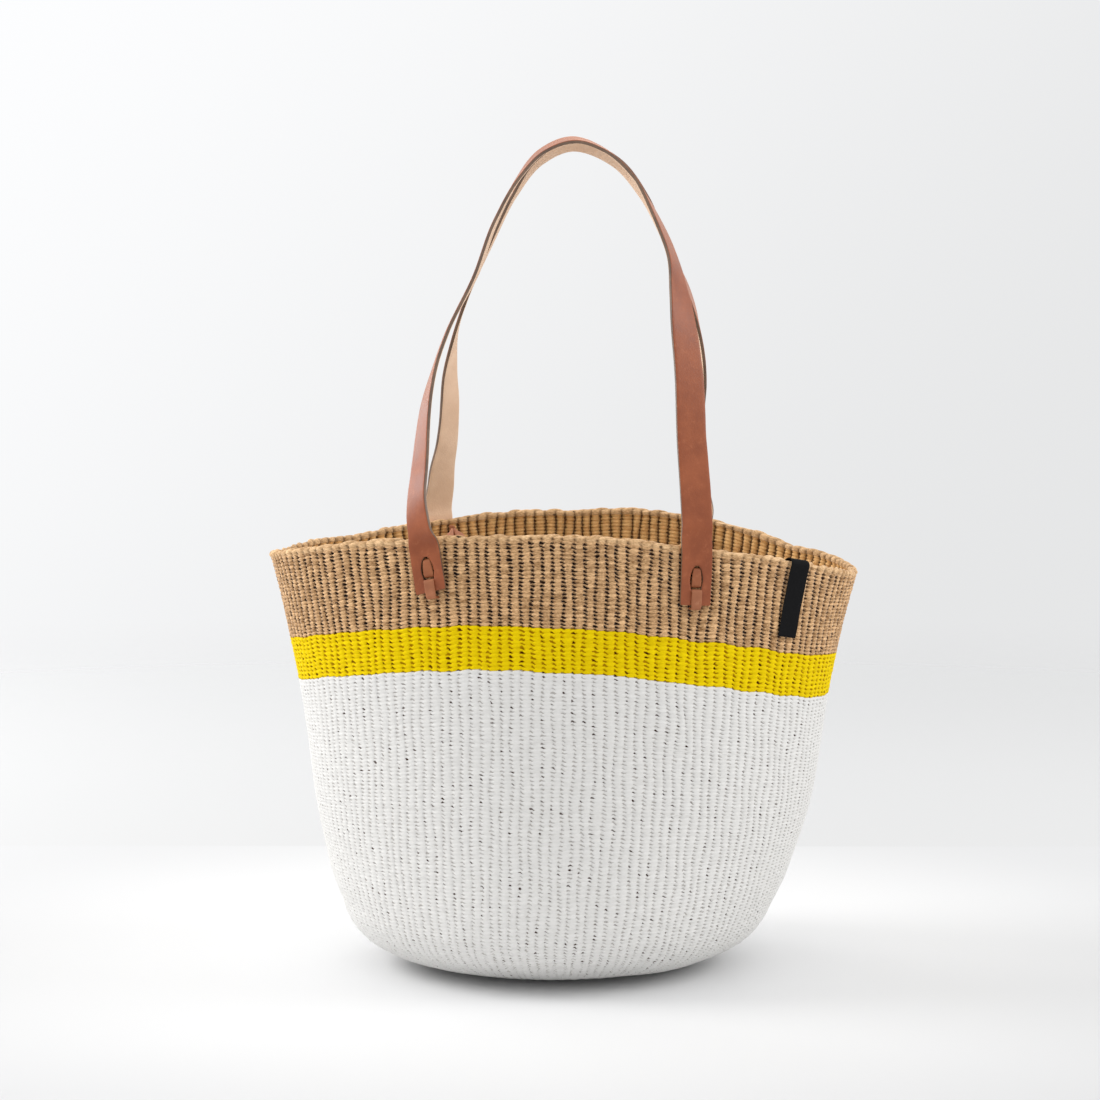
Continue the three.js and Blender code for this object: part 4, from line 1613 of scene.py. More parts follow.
@dataclass(frozen=True)
class LoopShape:
    """The run of one whole strap.

    The laced ends lie where the solids have them. The loop follows the photograph a
    little more closely, within the solids' box.
    """

    shape: BodyShape
    outwards: float
    left: Leg
    right: Leg
    width: float = 0.020
    thickness: float = 0.0024
    clearance: float = 0.0003
    end_drop: float = 0.032
    top_height: float = 0.528
    top_setback: float = 0.0145
    top_side: float = 0.006
    fold_rise: float = 0.002
    fold_gap: float = 0.0004
    lean_power: float = 1.25
    overlong: float = 0.0011
    end_steps: int = 120

    @property
    def name(self) -> str:
        """The strap's name in the solids."""
        return "front" if self.outwards < 0 else "back"

    @property
    def middle(self) -> float:
        """How far the strap's middle lies off the wall."""
        return self.clearance + self.thickness / 2

    def tie(self, leg: Leg) -> TieFrame:
        """Works out the frame of a leg's laced end.

        Args:
            leg: the leg.

        Returns:
            The frame, turned by the leg's lean about the wall's normal.
        """
        shape = self.shape
        end_height = shape.rim_height - self.end_drop
        side = -leg.distance if leg.side == "left" else leg.distance
        angle = shape.angle_beside(side, end_height, self.outwards < 0)
        normal = shape.directions(angle, end_height + self.end_drop / 2)[2]
        climb = unit(UP - normal * normal[2])
        is_left_of_normal = (leg.side == "left") == (self.outwards < 0)
        lean = math.radians(leg.lean if is_left_of_normal else -leg.lean)
        climb = turned(climb, normal, lean)
        across = unit(np.cross(climb, normal))
        rim = float(shape.wall(angle, shape.rim_height)[2])
        return TieFrame(shape.wall(angle, end_height), across, climb, normal, rim)

    @property
    def fold_height(self) -> float:
        """The height of the line about which the strap folds."""
        return max(self.tie(leg).rim_height for leg in (self.left, self.right)) + self.fold_rise

    def end_length(self, tie: TieFrame) -> float:
        """Gives how far a laced end reaches up to the fold."""
        return (self.fold_height - tie.origin[2]) / tie.climb[2] - self.fold_gap / 2

    def line(self, top: Array, ties: list[TieFrame]) -> tuple[Array, list[Array]]:
        """Draws the strap's middle line from the left cut end to the right one.

        Each laced end is straight. The loop goes through the places of each leg's out
        table, where y moves towards the top by the climb to the power of 1.25.

        Args:
            top: the top of the loop.
            ties: the frames of the left and the right end.

        Returns:
            The line's points, and where the loop leaves each end.
        """
        starts, corners, ends = [], [], []
        for leg, tie in zip((self.left, self.right), ties):
            start = tie.at(0.0, self.end_length(tie) + self.fold_gap, self.middle)
            rows = np.array(leg.out.rows)
            climb, out = rows[:, :1], rows[:, 1:]
            x = top[0] + (start[0] - top[0]) * out
            y = start[1] + (top[1] - start[1]) * climb**self.lean_power
            z = start[2] + (top[2] - start[2]) * climb
            straight = start + tie.climb * self.width / 4
            corners.append(np.concatenate([[start, straight], np.hstack([x, y, z])]))
            rise = np.linspace(-self.overlong, self.end_length(tie), self.end_steps)
            ends.append(tie.at(0.0, rise, self.middle))
            starts.append(start)
        loop = smooth_path(np.concatenate([corners[0], [top], corners[1][::-1]]))
        return np.concatenate([ends[0], loop, ends[1][::-1]]), starts

    def run(self) -> Run:
        """Gives the strap's middle line with the directions of its width and depth.

        The width turns from along the wall to along Y by the twist tables, and tips a
        little near the top. Where it turns on the wall, the strap lifts off it.

        Returns:
            The run, in fine steps from the left cut end to the right one.
        """
        top = np.array([self.top_side, self.outwards * self.top_setback, self.top_height])
        legs = (self.left, self.right)
        ties = [self.tie(leg) for leg in legs]
        line, starts = self.line(top, ties)
        tangent = unit(np.gradient(line, axis=0))
        is_left = line[:, 0] < top[0]
        inwards = np.where(is_left, 1.0, -1.0)
        start_height = np.where(is_left, starts[0][2], starts[1][2])
        climb = (line[:, 2] - start_height) / (top[2] - start_height)
        twist = np.where(is_left, *(leg.twist.read(climb)[:, 0] for leg in legs))
        across = np.where(is_left[:, None], *(tie.across * np.sign(tie.across[0]) for tie in ties))
        normal = np.where(is_left[:, None], *(tie.normal for tie in ties))
        across = across * inwards[:, None]
        tie_turn = np.arctan2(across[:, 1] * self.outwards, across[:, 0] * inwards)
        quarter = math.pi / 2 - tie_turn
        turn = tie_turn + quarter * np.clip(twist, 0, 1.2)
        guide = np.stack([inwards * np.cos(turn), self.outwards * np.sin(turn), 0 * turn], -1)
        flat = unit(guide - tangent * np.sum(guide * tangent, -1, keepdims=True))
        settle = smooth_step(climb, -0.05, -0.005)[:, None]
        width = unit(across * (1 - settle) + flat * settle)
        through = unit(np.cross(width, tangent)) * -self.outwards
        tilt = np.where(is_left, *(leg.tilt.read(climb)[:, 0] for leg in legs))[:, None]
        tilt = -self.outwards * np.radians(tilt)
        cos, sin = np.cos(tilt), np.sin(tilt)
        width, through = width * cos + through * sin, through * cos - width * sin
        fade = 1 - smooth_step(climb, 0.02, 0.16)
        lift = self.width / 2 * np.sin(np.clip(twist, 0, 1) * quarter) * fade
        shift = np.where(is_left, self.left.shift, self.right.shift)
        shift = shift * smooth_step(climb, -0.06, 0.0) * (1 - smooth_step(climb, 0.05, 0.3))
        line = line + normal * lift[:, None] + np.array([1.0, 0.0, 0.0]) * shift[:, None]
        return Run(line, width, through, distances(line))


@dataclass
class StrapStrip:
    """One strap as an unbroken strip of thick hide, slotted at both ends.

    The slot's foot has round corners and is narrower by a share, and its head is a tall
    arch. The lip is the dip of the grain beside the slot, and the tip's cut is what its
    corners lose. Wobble is the unevenness of the long edges. The strip is cut across at
    its stations, which lie closer together at the tip, the foot and the arch.
    """

    loop: LoopShape
    slot_half_width: float = 0.0041
    foot_round: float = 0.0014
    foot_narrow: float = 0.2
    foot_reach: float = 0.006
    arch: float = 0.0085
    edge_radius: float = 0.0006
    lip_drop: float = 0.0003
    lip_reach: float = 0.0006
    tip_reach: float = 0.0012
    tip_cut: float = 0.0006
    cut_reach: float = 0.005
    end_reach: float = 0.0405
    end_step: float = 0.001
    tip_stations: tuple[float, ...] = (0.0, 0.0003, 0.0008, 0.002, 0.0035, 0.005)
    foot_steps: int = 10
    arch_steps: int = 20
    slot_steps: int = 7
    loop_step: float = 0.0016
    columns: int = 7
    arc: int = 3
    hinge_reach: float = 0.1165
    wobble: float = 0.00012
    seed: int = 5

    def slot_half(self, leg: Leg, run: Array) -> Array:
        """Gives the slot's half width at distances from the strap's cut end.

        It opens with round corners, widens a little and closes in a tall arch.

        Args:
            leg: the leg whose slot it is.
            run: distances from the cut end.

        Returns:
            The half width, zero outside the slot.
        """
        rise = run - self.loop.overlong
        low = np.clip((leg.slot_low + self.foot_round - rise) / self.foot_round, 0, 1)
        high = np.clip((rise - leg.slot_high + self.arch) / self.arch, 0, 1)
        foot = np.sqrt(1 - low**2.5)
        wide = smooth_step(rise, leg.slot_low, leg.slot_low + self.foot_reach)
        wide = 1 - self.foot_narrow * (1 - wide)
        head = np.sqrt(np.maximum(1 - high**1.8, 0))
        return self.slot_half_width * foot * wide * head

    def end_stations(self, leg: Leg) -> Array:
        """Chooses the distances at which a laced end is cut across.

        Args:
            leg: the leg.

        Returns:
            Distances from the cut end, closer together at the slot's ends.
        """
        low = leg.slot_low + self.loop.overlong
        high = leg.slot_high + self.loop.overlong
        turn = (1 - np.cos(np.linspace(0, math.pi / 2, self.foot_steps))) * self.foot_round
        bow = np.sin(np.linspace(0, math.pi / 2, self.arch_steps)) * self.arch
        return np.concatenate(
            [
                self.tip_stations,
                low + turn,
                np.linspace(low + self.foot_round, high - self.arch, self.slot_steps)[1:-1],
                high - self.arch + bow,
                np.arange(high + self.end_step, self.end_reach - self.end_step, self.end_step),
            ]
        )

    def stations(self, length: float) -> Array:
        """Chooses the distances at which the strip is cut across.

        Args:
            length: the strip's whole length.

        Returns:
            Distances from the left cut end.
        """
        left, right = (self.end_stations(leg) for leg in (self.loop.left, self.loop.right))
        count = round((length - 2 * self.end_reach) / self.loop_step)
        middle = np.linspace(self.end_reach, length - self.end_reach, count)
        return np.concatenate([left, middle, (length - right)[::-1]])

    def halves(self, stations: Array) -> Array:
        """Gives the half width of the slots at every station."""
        back = stations[-1] - stations
        return self.slot_half(self.loop.left, stations) + self.slot_half(self.loop.right, back)

    def half(self, is_right: bool, stations: Array, run: Run) -> tuple[Array, Array]:
        """Builds the section's outline along one half of the strip.

        The outline starts at the slot on the grain side, goes out to the edge, round
        it and back along the flesh side.

        Args:
            is_right: whether it is the half on the side of the run's width direction.
            stations: distances from the left cut end.
            run: the strap's run.

        Returns:
            The points, stations by outline, and the distance across at each.
        """
        loop, radius = self.loop, self.edge_radius
        rise = np.minimum(stations, stations[-1] - stations)
        inner = self.halves(stations)[:, None]
        share = np.linspace(0, 1, self.columns)[None, :]
        draw = np.random.default_rng(self.seed + int(is_right))
        lengths_and_phases = draw.uniform((0.02, 0.0), (0.11, TURN), (4, 2))
        waves = sum(np.sin(stations * TURN / length + phase) for length, phase in lengths_and_phases)
        tip = np.clip(1 - rise / self.tip_reach, 0, 1)[:, None] ** 2 * self.tip_cut
        outer = loop.width / 2 + self.wobble * 0.5 * (waves[:, None] - 2) * (rise[:, None] > 0) - tip
        flat = inner + (outer - radius - inner) * share
        bend = np.linspace(0, math.pi / 2, self.arc + 1)[1:]
        half_height = loop.thickness / 2
        edge_out = outer - radius + radius * np.sin(bend)
        edge_high = (half_height - radius + radius * np.cos(bend))[None, :] + 0 * outer
        slot_lip = self.lip_drop * (1 - np.clip((flat - inner) / self.lip_reach, 0, 1)) * (inner > 0)
        grain_high = half_height - slot_lip
        out = np.concatenate([flat, edge_out, edge_out[:, ::-1], flat[:, ::-1]], 1)
        high = np.concatenate([grain_high, edge_high, -edge_high[:, ::-1], -grain_high[:, ::-1]], 1)
        out = out if is_right else -out
        centre = resample(run.centre, run.length, stations)
        width = unit(resample(run.width, run.length, stations))
        through = unit(resample(run.through, run.length, stations))
        points = centre[:, None] + width[:, None] * out[..., None] + through[:, None] * high[..., None]
        along = unit(np.gradient(centre, axis=0))
        ends = ((loop.left, stations), (loop.right, stations[-1] - stations))
        cut = sum(leg.cut * np.clip(1 - away / self.cut_reach, 0, 1) for leg, away in ends)
        slide = cut[:, None] * out / loop.width
        return points + along[:, None] * slide[..., None], out

    def build(self, looks: list[Material]) -> None:
        """Builds the strip and hides the strap's solids that it stands for.

        Args:
            looks: the grain, flesh and edge materials.
        """
        run = self.loop.run()
        stations = self.stations(run.length[-1])
        skin = Skin()
        edge = Face.EDGE.value
        for is_right in (False, True):
            points, out = self.half(is_right, stations, run)
            uv = np.stack(np.broadcast_arrays(out, stations[:, None]), -1)
            is_turned = is_right == (self.loop.outwards > 0)
            edge_start = self.columns + self.arc - 2
            edge_end = points.shape[1] - edge_start
            cuts = (
                (0, edge_start + 1, Face.GRAIN),
                (edge_start, edge_end, Face.EDGE),
                (edge_end - 1, points.shape[1], Face.FLESH),
            )
            for low, high, face in cuts:
                skin.add_grid(points[:, low:high], uv[:, low:high], slot=face.value, is_turned=is_turned)
            pair = [0, points.shape[1] - 1]
            is_open = self.halves(stations) > 0
            near = is_open | np.roll(is_open, 1) | np.roll(is_open, -1)
            near[[0, -1]] = False
            slot_rows = np.flatnonzero(near)
            for block in np.split(slot_rows, np.flatnonzero(np.diff(slot_rows) > 1) + 1):
                wall = points[np.ix_(block, pair)]
                skin.add_grid(wall, uv[np.ix_(block, pair)], slot=edge, is_turned=not is_turned)
            half_count = points.shape[1] // 2
            for end in (0, -1):
                rows, pairs = (
                    np.stack([grid[end, :half_count], grid[end, ::-1][:half_count]]) for grid in (points, uv)
                )
                skin.add_grid(rows, pairs, slot=edge, is_turned=is_turned != (end == 0))
        piece = skin.build(f"{self.loop.name}_strap_strip", looks)
        weld(piece, 2e-6)
        name, fold = self.loop.name, self.loop.fold_height
        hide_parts(f"{name}_strap_loop", f"{name}_strap_left_end", f"{name}_strap_right_end")
        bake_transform(piece)
        report(piece)


@dataclass
class Lace:
    """One lace: through the slot, over the strap's cut end and knotted inside.

    In the slot it takes a darker look, painted shade of the slot's recess; over the
    strap and in the knot it takes its plain look, and its tails are paler. Wall and
    strap are the thicknesses that it goes round. Arch is the height of the slot's arch,
    belly how far the stitch bulges out of the slot and play how far it lies to one side.
    A corner takes up no more than the bend's share of either stretch beside it. The
    knot's swing is how far its turn rocks up and down, and spread is how far each riser
    stands off its middle.
    """

    tie: TieFrame
    leg: Leg
    name: str
    width: float = 0.0067
    thickness: float = 0.0016
    clearance: float = 0.0003
    bend: float = 0.0014
    wall: float = 0.0055
    strap: float = 0.0024
    dark_gap: float = 0.0009
    top_gap: float = 0.0012
    arch: float = 0.0085
    belly: float = 0.0006
    play: float = 0.0002
    stitch_steps: int = 180
    bend_steps: int = 9
    bend_share: float = 0.45
    sides: int = 20
    side_power: float = 0.35
    face_power: float = 0.6
    knot_width: float = 0.0038
    knot_height: float = 0.0022
    knot_depth: float = 0.0056
    knot_lift: float = 0.0052
    knot_turns: float = 1.15
    knot_swing: float = 0.0006
    knot_steps: int = 64
    spread: float = 0.0008
    tail_steps: int = 48
    tail_length: float = 0.018
    tail_top: float = 0.0015
    tail_foot: float = 0.006
    riser_foot: float = 0.004
    riser_top: float = 0.0016

    @property
    def upper_hole(self) -> float:
        """The height at which the lace comes out at the top of the slot."""
        return self.leg.slot_high - self.top_gap - self.thickness / 2

    @property
    def low(self) -> float:
        """The height at which the lace comes out to cross the bridge."""
        return self.leg.slot_low + self.clearance

    def stitch(self) -> Array:
        """Draws the stitch from the side as (depth, rise) points with round corners.

        Returns:
            The points, evenly spaced.
        """
        half = self.thickness / 2
        in_slot = self.clearance * 2 + half
        over = 1.5 * self.clearance + self.strap + half
        inside = -(self.wall + self.clearance + half)
        back = inside - self.thickness - self.clearance
        high = self.low + self.thickness + self.dark_gap
        end = self.leg.lace_low + half
        places = np.array(
            [
                (back - self.clearance, self.upper_hole),
                (in_slot, self.upper_hole),
                (in_slot, high),
                (inside, high),
                (inside, self.low),
                (over, self.low),
                (over, end),
                (back, end),
                (back, self.upper_hole),
            ]
        )
        before = unit(places[:-2] - places[1:-1]) * self.bend
        after = unit(places[2:] - places[1:-1]) * self.bend
        reach = np.linalg.norm(np.diff(places, axis=0), axis=-1, keepdims=True)
        before = before * np.minimum(reach[:-1] * self.bend_share / self.bend, 1)
        after = after * np.minimum(reach[1:] * self.bend_share / self.bend, 1)
        share = np.linspace(0, 1, self.bend_steps)[None, :, None]
        here = places[1:-1, None]
        start, stop = here + before[:, None], here + after[:, None]
        curve = start * (1 - share) ** 2 + 2 * here * share * (1 - share) + stop * share**2
        line = np.concatenate([places[:1], curve.reshape(-1, 2), places[-1:]])
        length = distances(line)
        return resample(line, length, np.linspace(0, length[-1], self.stitch_steps))

    def section(self, width: Array, thickness: Array) -> tuple[Array, Array]:
        """Gives a rounded oblong outline: |cos|^p and |sin|^p of the turn.

        Args:
            width: the full width at each station.
            thickness: the full thickness at each station.

        Returns:
            Distances along the width and through the strip, stations by sides.
        """
        turn = TURN * (np.arange(self.sides) + 0.5) / self.sides
        cos, sin = np.cos(turn), np.sin(turn)
        wide = np.sign(cos) * np.abs(cos) ** self.side_power
        high = np.sign(sin) * np.abs(sin) ** self.face_power
        return width[:, None] / 2 * wide, thickness[:, None] / 2 * high

    def strip(
        self,
        skin: Skin,
        centre: Array,
        across: Array,
        through: Array,
        width: Array,
        thick: Array,
        look: Array | int,
    ) -> None:
        """Adds a closed strip of thong along a line.

        Args:
            skin: the piece so far.
            centre: the line's points.
            across: the direction of the width at each.
            through: the direction through the strip at each.
            width: the full width at each.
            thick: the full thickness at each.
            look: the slot of the finish that shows, once or for each point.
        """
        wide, high = self.section(width, thick)
        points = centre[:, None] + across[:, None] * wide[..., None] + through[:, None] * high[..., None]
        run = distances(centre)
        turn = np.arange(self.sides + 1) / self.sides
        uv = np.stack(np.meshgrid(turn, run), -1)
        is_turned = float(np.dot(np.cross(across[0], through[0]), centre[1] - centre[0])) < 0
        sides = np.broadcast_to(look, len(centre))[:-1].astype(int)
        first = skin.add_grid(points, uv, True, np.repeat(sides, self.sides), None, is_turned)
        ring = first + np.arange(self.sides)
        ends = (ring[None, ::-1], ring[None] + (len(centre) - 1) * self.sides)
        for end in ends:
            skin.add_faces(end[:, ::-1] if is_turned else end, is_smooth=False)

    def stitches(self, skin: Skin) -> None:
        """Adds the running stitch, which narrows to fit the slot's arch and its holes.

        Args:
            skin: the piece so far.
        """
        line = self.stitch()
        run = unit(np.gradient(line, axis=0))
        depth, rise = line.T
        share = np.linspace(0, 1, len(line))
        is_over = depth > self.strap
        belly = np.where(is_over, 0.0, self.belly) * smooth_step(depth, 0.0, self.clearance)
        middle = (self.upper_hole + self.low) / 2
        belly = belly * np.clip(1 - ((rise - middle) / (self.upper_hole - self.low) * 1.6) ** 2, 0, 1)
        centre = self.tie.at(self.play + 0 * rise, rise, depth + belly)
        through = -run[:, :1] * self.tie.climb + run[:, 1:] * self.tie.normal
        across = np.tile(self.tie.across, (len(line), 1))
        near_top = smooth_step(rise, self.leg.slot_high - self.arch, self.leg.slot_high)
        near_top = near_top * (depth > -self.wall)
        near_end = smooth_step(-rise, -0.002, -self.leg.lace_low) * (depth > 0)
        width = self.width * (1 - 0.3 * near_top - 0.07 * near_end + 0.012 * np.sin(share * 60))
        width = width - 0.0004 * (belly > 0)
        thick = np.full(len(line), self.thickness)
        # The stretch in the slot takes the darker look, painted shade of the slot's recess.
        look = np.where(is_over, LaceLook.FLESH.value, LaceLook.GRAIN.value)
        self.strip(skin, centre, across, through, width, thick, look)

    def knot(self, skin: Skin) -> None:
        """Adds the knot: a turn drawn tight round the ends, and two spreading tails.

        Args:
            skin: the piece so far.
        """
        rise = self.leg.slot_high + self.knot_lift
        beside = self.leg.knot_side
        middle = -(self.wall + self.clearance + self.knot_depth / 2)
        turn = np.linspace(0, TURN * self.knot_turns, self.knot_steps)
        grow = 1.0 - 0.1 * turn / TURN
        side = beside + (self.knot_width - self.thickness) / 2 * np.cos(turn) * grow
        depth = middle + (self.knot_depth - self.thickness) / 2 * np.sin(turn) * grow
        lift = rise + self.knot_swing * np.cos(turn + 0.6)
        width = self.knot_height * (1 - 0.12 * np.sin(turn * 1.5) ** 2)
        self.thong(skin, self.tie.at(side, lift, depth), self.tie.climb, width, 1.0, LaceLook.FLESH)
        share = np.linspace(0, 1, self.tail_steps)
        climb = self.low + (rise + 0.001 - self.low) * share
        for sign in (-1.0, 1.0):
            lean = beside * smooth_step(share, 0.0, 0.3) + sign * self.spread
            riser = self.tie.at(lean, climb, middle - sign * self.spread)
            width = self.riser_foot + (self.riser_top - self.riser_foot) * share
            self.thong(skin, riser, self.tie.across, width, 0.7, LaceLook.FLESH)
            opening = (0.0031 - 0.0008 * sign) * smooth_step(share, 0.0, 0.42)
            spread = sign * (0.0009 + opening + 0.0008 * share)
            fall = rise - 0.0004 - self.tail_length * share * (1 - 0.05 * sign)
            deep = middle - 0.002 - 0.0016 * np.sin(share * 3.0) - 0.0008 * (sign > 0)
            roll = self.tie.across + sign * 0.35 * (share[:, None] - 0.4) * self.tie.normal
            width = self.tail_top + (self.tail_foot - self.tail_top) * smooth_step(share, 0.0, 0.4)
            self.thong(skin, self.tie.at(beside + spread, fall, deep), roll, width, 0.85, LaceLook.TAIL)

    def thong(
        self, skin: Skin, centre: Array, across: Array, width: Array, share: float, look: LaceLook
    ) -> None:
        """Adds a stretch of thong whose width lies as near as it can to a direction.

        Args:
            skin: the piece so far.
            centre: the line's points.
            across: the wanted direction of the width.
            width: the full width at each point.
            share: the share of the thong's full thickness.
            look: which finish shows.
        """
        tangent = unit(np.gradient(centre, axis=0))
        across = np.broadcast_to(across, centre.shape)
        across = unit(across - tangent * np.sum(across * tangent, -1, keepdims=True))
        thick = np.full(len(centre), self.thickness * share)
        self.strip(skin, centre, across, np.cross(across, tangent), width, thick, look.value)

    def build(self, looks: list[Material]) -> None:
        """Builds the lace and puts it in the basket's body.

        Args:
            looks: the slot's darker look, painted shade, then the flesh and tail materials.
        """
        skin = Skin()
        self.stitches(skin)
        self.knot(skin)
        piece = skin.build(f"{self.name}_thong", looks)
        finish_piece(piece, [self.name])


@dataclass
class Label:
    """The plain woven label, folded over the border.

    Inset is how far it lies from the rim's right end, puff how far its edges lift and
    slant how far it leans for each unit of its fall.
    """

    shape: BodyShape
    width: float = 0.0152
    thickness: float = 0.0006
    inset: float = 0.0428
    outer_length: float = 0.045
    inner_length: float = 0.024
    clearance: float = 0.0003
    columns: int = 24
    fall_steps: int = 30
    turn_steps: int = 16
    puff: float = 0.0002
    slant: float = 0.018

    def build(self, look: Material) -> None:
        """Builds the strip up the outside, over the border and down the inside.

        Args:
            look: the tape's material.
        """
        shape = self.shape
        angle = shape.angle_beside(shape.rim_half_width - self.inset, shape.rim_height, True)
        offset = self.clearance + self.thickness / 2
        radius = shape.border_half_width + offset
        rows = []
        sides = ((self.outer_length, offset, 1.0), (self.inner_length, offset - 2 * radius, -1.0))
        for length, depth, facing in sides:
            drop = np.linspace(0, length - shape.border_height / 2, self.fall_steps)
            height = shape.border_middle - drop
            along, _, normal = shape.directions(angle, height)
            hang = np.stack([shape.wall(angle, height) + normal * depth, along, normal * facing])
            hang[0] = hang[0] - along * (self.slant * drop * (facing > 0))[:, None]
            hang[0][:, 2] += shape.lift(angle, height)
            rows.append(hang[:, ::-1] if facing > 0 else hang)
        along, up, normal = shape.directions(angle, shape.border_middle)
        turn = np.linspace(0, math.pi, self.turn_steps + 2)[1:-1, None]
        through = normal * np.cos(turn) + up * np.sin(turn)
        centre = shape.wall(angle, shape.border_middle) - normal * shape.border_half_width
        centre[2] += shape.lift(angle, shape.rim_height)
        over = np.stack([centre + through * radius, np.tile(along, (self.turn_steps, 1)), through])
        centre, across, through = np.concatenate([rows[0], over, rows[1]], 1)
        length = distances(centre)
        side = np.linspace(-1, 1, self.columns)
        skin = Skin()
        wave = (np.sin(length * 210.0) * np.sin(length * 92.0 + 1.0))[:, None]
        sway = self.puff * wave * side**2
        grids = []
        for facing in (1.0, -1.0):
            out = sway + facing * self.thickness / 2 * (1 - 0.6 * np.abs(side) ** 8)
            wide = side * self.width / 2
            points = centre[:, None] + across[:, None] * wide[:, None] + through[:, None] * out[..., None]
            uv = np.stack(np.meshgrid(wide, length), -1)
            skin.add_grid(points, uv, is_turned=facing > 0)
            grids.append((points, uv))
        (front, uv), (back, _) = grids
        for column, is_turned in ((0, True), (-1, False)):
            pair = np.stack([front[:, column], back[:, column]], 1)
            skin.add_grid(pair, uv[:, [column, column]], is_turned=is_turned)
        for row, is_turned in ((0, False), (-1, True)):
            pair = np.stack([front[row], back[row]])
            skin.add_grid(pair, uv[[row, row]], is_turned=is_turned)
        piece = skin.build("label_tape", [look])
        weld(piece)
        finish_piece(piece, ["label"])


# The studio


@dataclass
class Studio:
    """The pale floor, the soft light and the camera at the photograph's angle.

    The axis column and the horizon row are where the basket's middle and the eye's
    height fall, in points of the picture. Beyond the floor's back it is painted a little
    darker, painted shade that stands for the backdrop's wall, and close to the basket it
    is painted lighter, painted light that lifts the shadow round it.
    """

    distance: float = 2.0
    eye_height: float = 0.430
    lens: float = 101.65
    sensor: float = 36.0
    far: float = 50.0
    picture: float = 1100.0
    axis_column: float = 563.7
    horizon_row: float = 295.0
    floor_back: float = 0.406
    floor_half: float = 6.0
    floor_height: float = -0.0003
    aim_height: float = 0.2

    def camera(self) -> None:
        """Places the camera level with the straps, looking a little down."""
        data = bpy.data.cameras.new("camera")
        data.lens = self.lens
        data.sensor_width = self.sensor
        data.clip_end = self.far
        focal = self.lens / data.sensor_width * self.picture
        pitch = math.atan((self.picture / 2 - self.horizon_row) / focal)
        yaw = math.atan((self.axis_column - self.picture / 2) / focal)
        eye = bpy.data.objects.new("camera", data)
        eye.location = (0.0, -self.distance, self.eye_height)
        eye.rotation_euler = (math.pi / 2 - pitch, 0.0, yaw)
        bpy.context.scene.collection.objects.link(eye)
        bpy.context.scene.camera = eye

    def floor(self) -> None:
        """Lays a large pale floor whose far part fades into the background, painted lighter close to the
        basket and darker beyond its back.
        """
        half, low = self.floor_half, self.floor_height
        corners = np.array([[-half, -half, low], [half, -half, low], [half, half, low], [-half, half, low]])
        skin = Skin()
        skin.add_points(corners)
        skin.add_faces(np.array([[0, 1, 2, 3]]), corners[:, :2].copy())
        material, graph, shader = new_material("studio floor")
        place = graph.node("TexCoord").outputs["Object"]
        parts = graph.node("SeparateXYZ", {0: place}).outputs
        # Beyond the floor's back the colour steps a little darker, painted shade that stands for the
        # backdrop's wall.
        backdrop_shade = graph.span(parts[1], self.floor_back - 0.004, self.floor_back + 0.004)
        length = graph.node("VectorMath", {0: place}, operation="LENGTH").outputs["Value"]
        # Close to the basket the floor is painted lighter, painted light that lifts the shadow round it.
        near = graph.mix(graph.span(length, 0.16, 0.55), (0.79, 0.795, 0.803), (0.63, 0.635, 0.643))
        looks = {
            "Base Color": graph.mix(backdrop_shade, near, (0.62, 0.625, 0.63)),
            "Roughness": 0.6,
            "Specular IOR Level": 0.2,
            "Alpha": graph.span(length, 0.8, 2.2, 1.0, 0.0),
        }
        graph.feed(shader, looks)
        floor = skin.build("studio_floor", [material])

    def light(self) -> None:
        """Hangs the soft boxes and sets the pale surroundings, whose backdrop seen by the camera has a
        painted fall-off of light.
        """
        scene = bpy.context.scene
        scene.view_settings.view_transform = "Standard"
        world = bpy.data.worlds.new("studio")
        world.use_nodes = True
        graph = Graph(world.node_tree)
        background = world.node_tree.nodes["Background"]
        path = graph.node("LightPath").outputs["Is Camera Ray"]
        parts = graph.node("SeparateXYZ", {0: graph.node("TexCoord").outputs["Generated"]}).outputs
        # The backdrop that the camera sees is painted lighter at the upper left and darker towards the lower
        # right, a painted fall-off of light; other rays see an even pale grey.
        slope = graph.math("MULTIPLY_ADD", parts[2], -0.9, parts[0])
        backdrop_falloff = graph.mix(graph.span(slope, -0.3, 0.26), (0.985, 0.99, 1.0), (0.79, 0.795, 0.8))
        colour = graph.mix(path, (0.9, 0.9, 0.9), backdrop_falloff)
        graph.feed(background, {"Color": colour, "Strength": graph.math("MULTIPLY_ADD", path, -0.01, 1.01)})
        scene.world = world
        boxes = (
            ("key", (-2.1, 0.2, 1.5), 1.4, 30.5, (1.0, 0.99, 0.98)),
            ("side", (2.1, 0.0, 1.3), 1.4, 18.5, (1.0, 0.99, 0.98)),
            ("window", (-1.55, 1.5, 0.85), 1.2, 11.0, (1.0, 1.0, 1.0)),
        )
        for name, place, size, power, colour in boxes:
            data = bpy.data.lights.new(name, "AREA")
            data.shape = "DISK"
            data.size = size
            data.energy = power
            data.color = colour
            lamp = bpy.data.objects.new(name, data)
            direction = UP * self.aim_height - np.array(place)
            across = math.hypot(direction[0], direction[1])
            lamp.location = place
            lamp.rotation_euler = (
                math.atan2(across, -direction[2]),
                0.0,
                math.atan2(direction[1], direction[0]) - math.pi / 2,
            )
            scene.collection.objects.link(lamp)

    def build(self) -> None:
        """Builds the whole studio."""
        self.camera()
        self.floor()
        self.light()


# All together


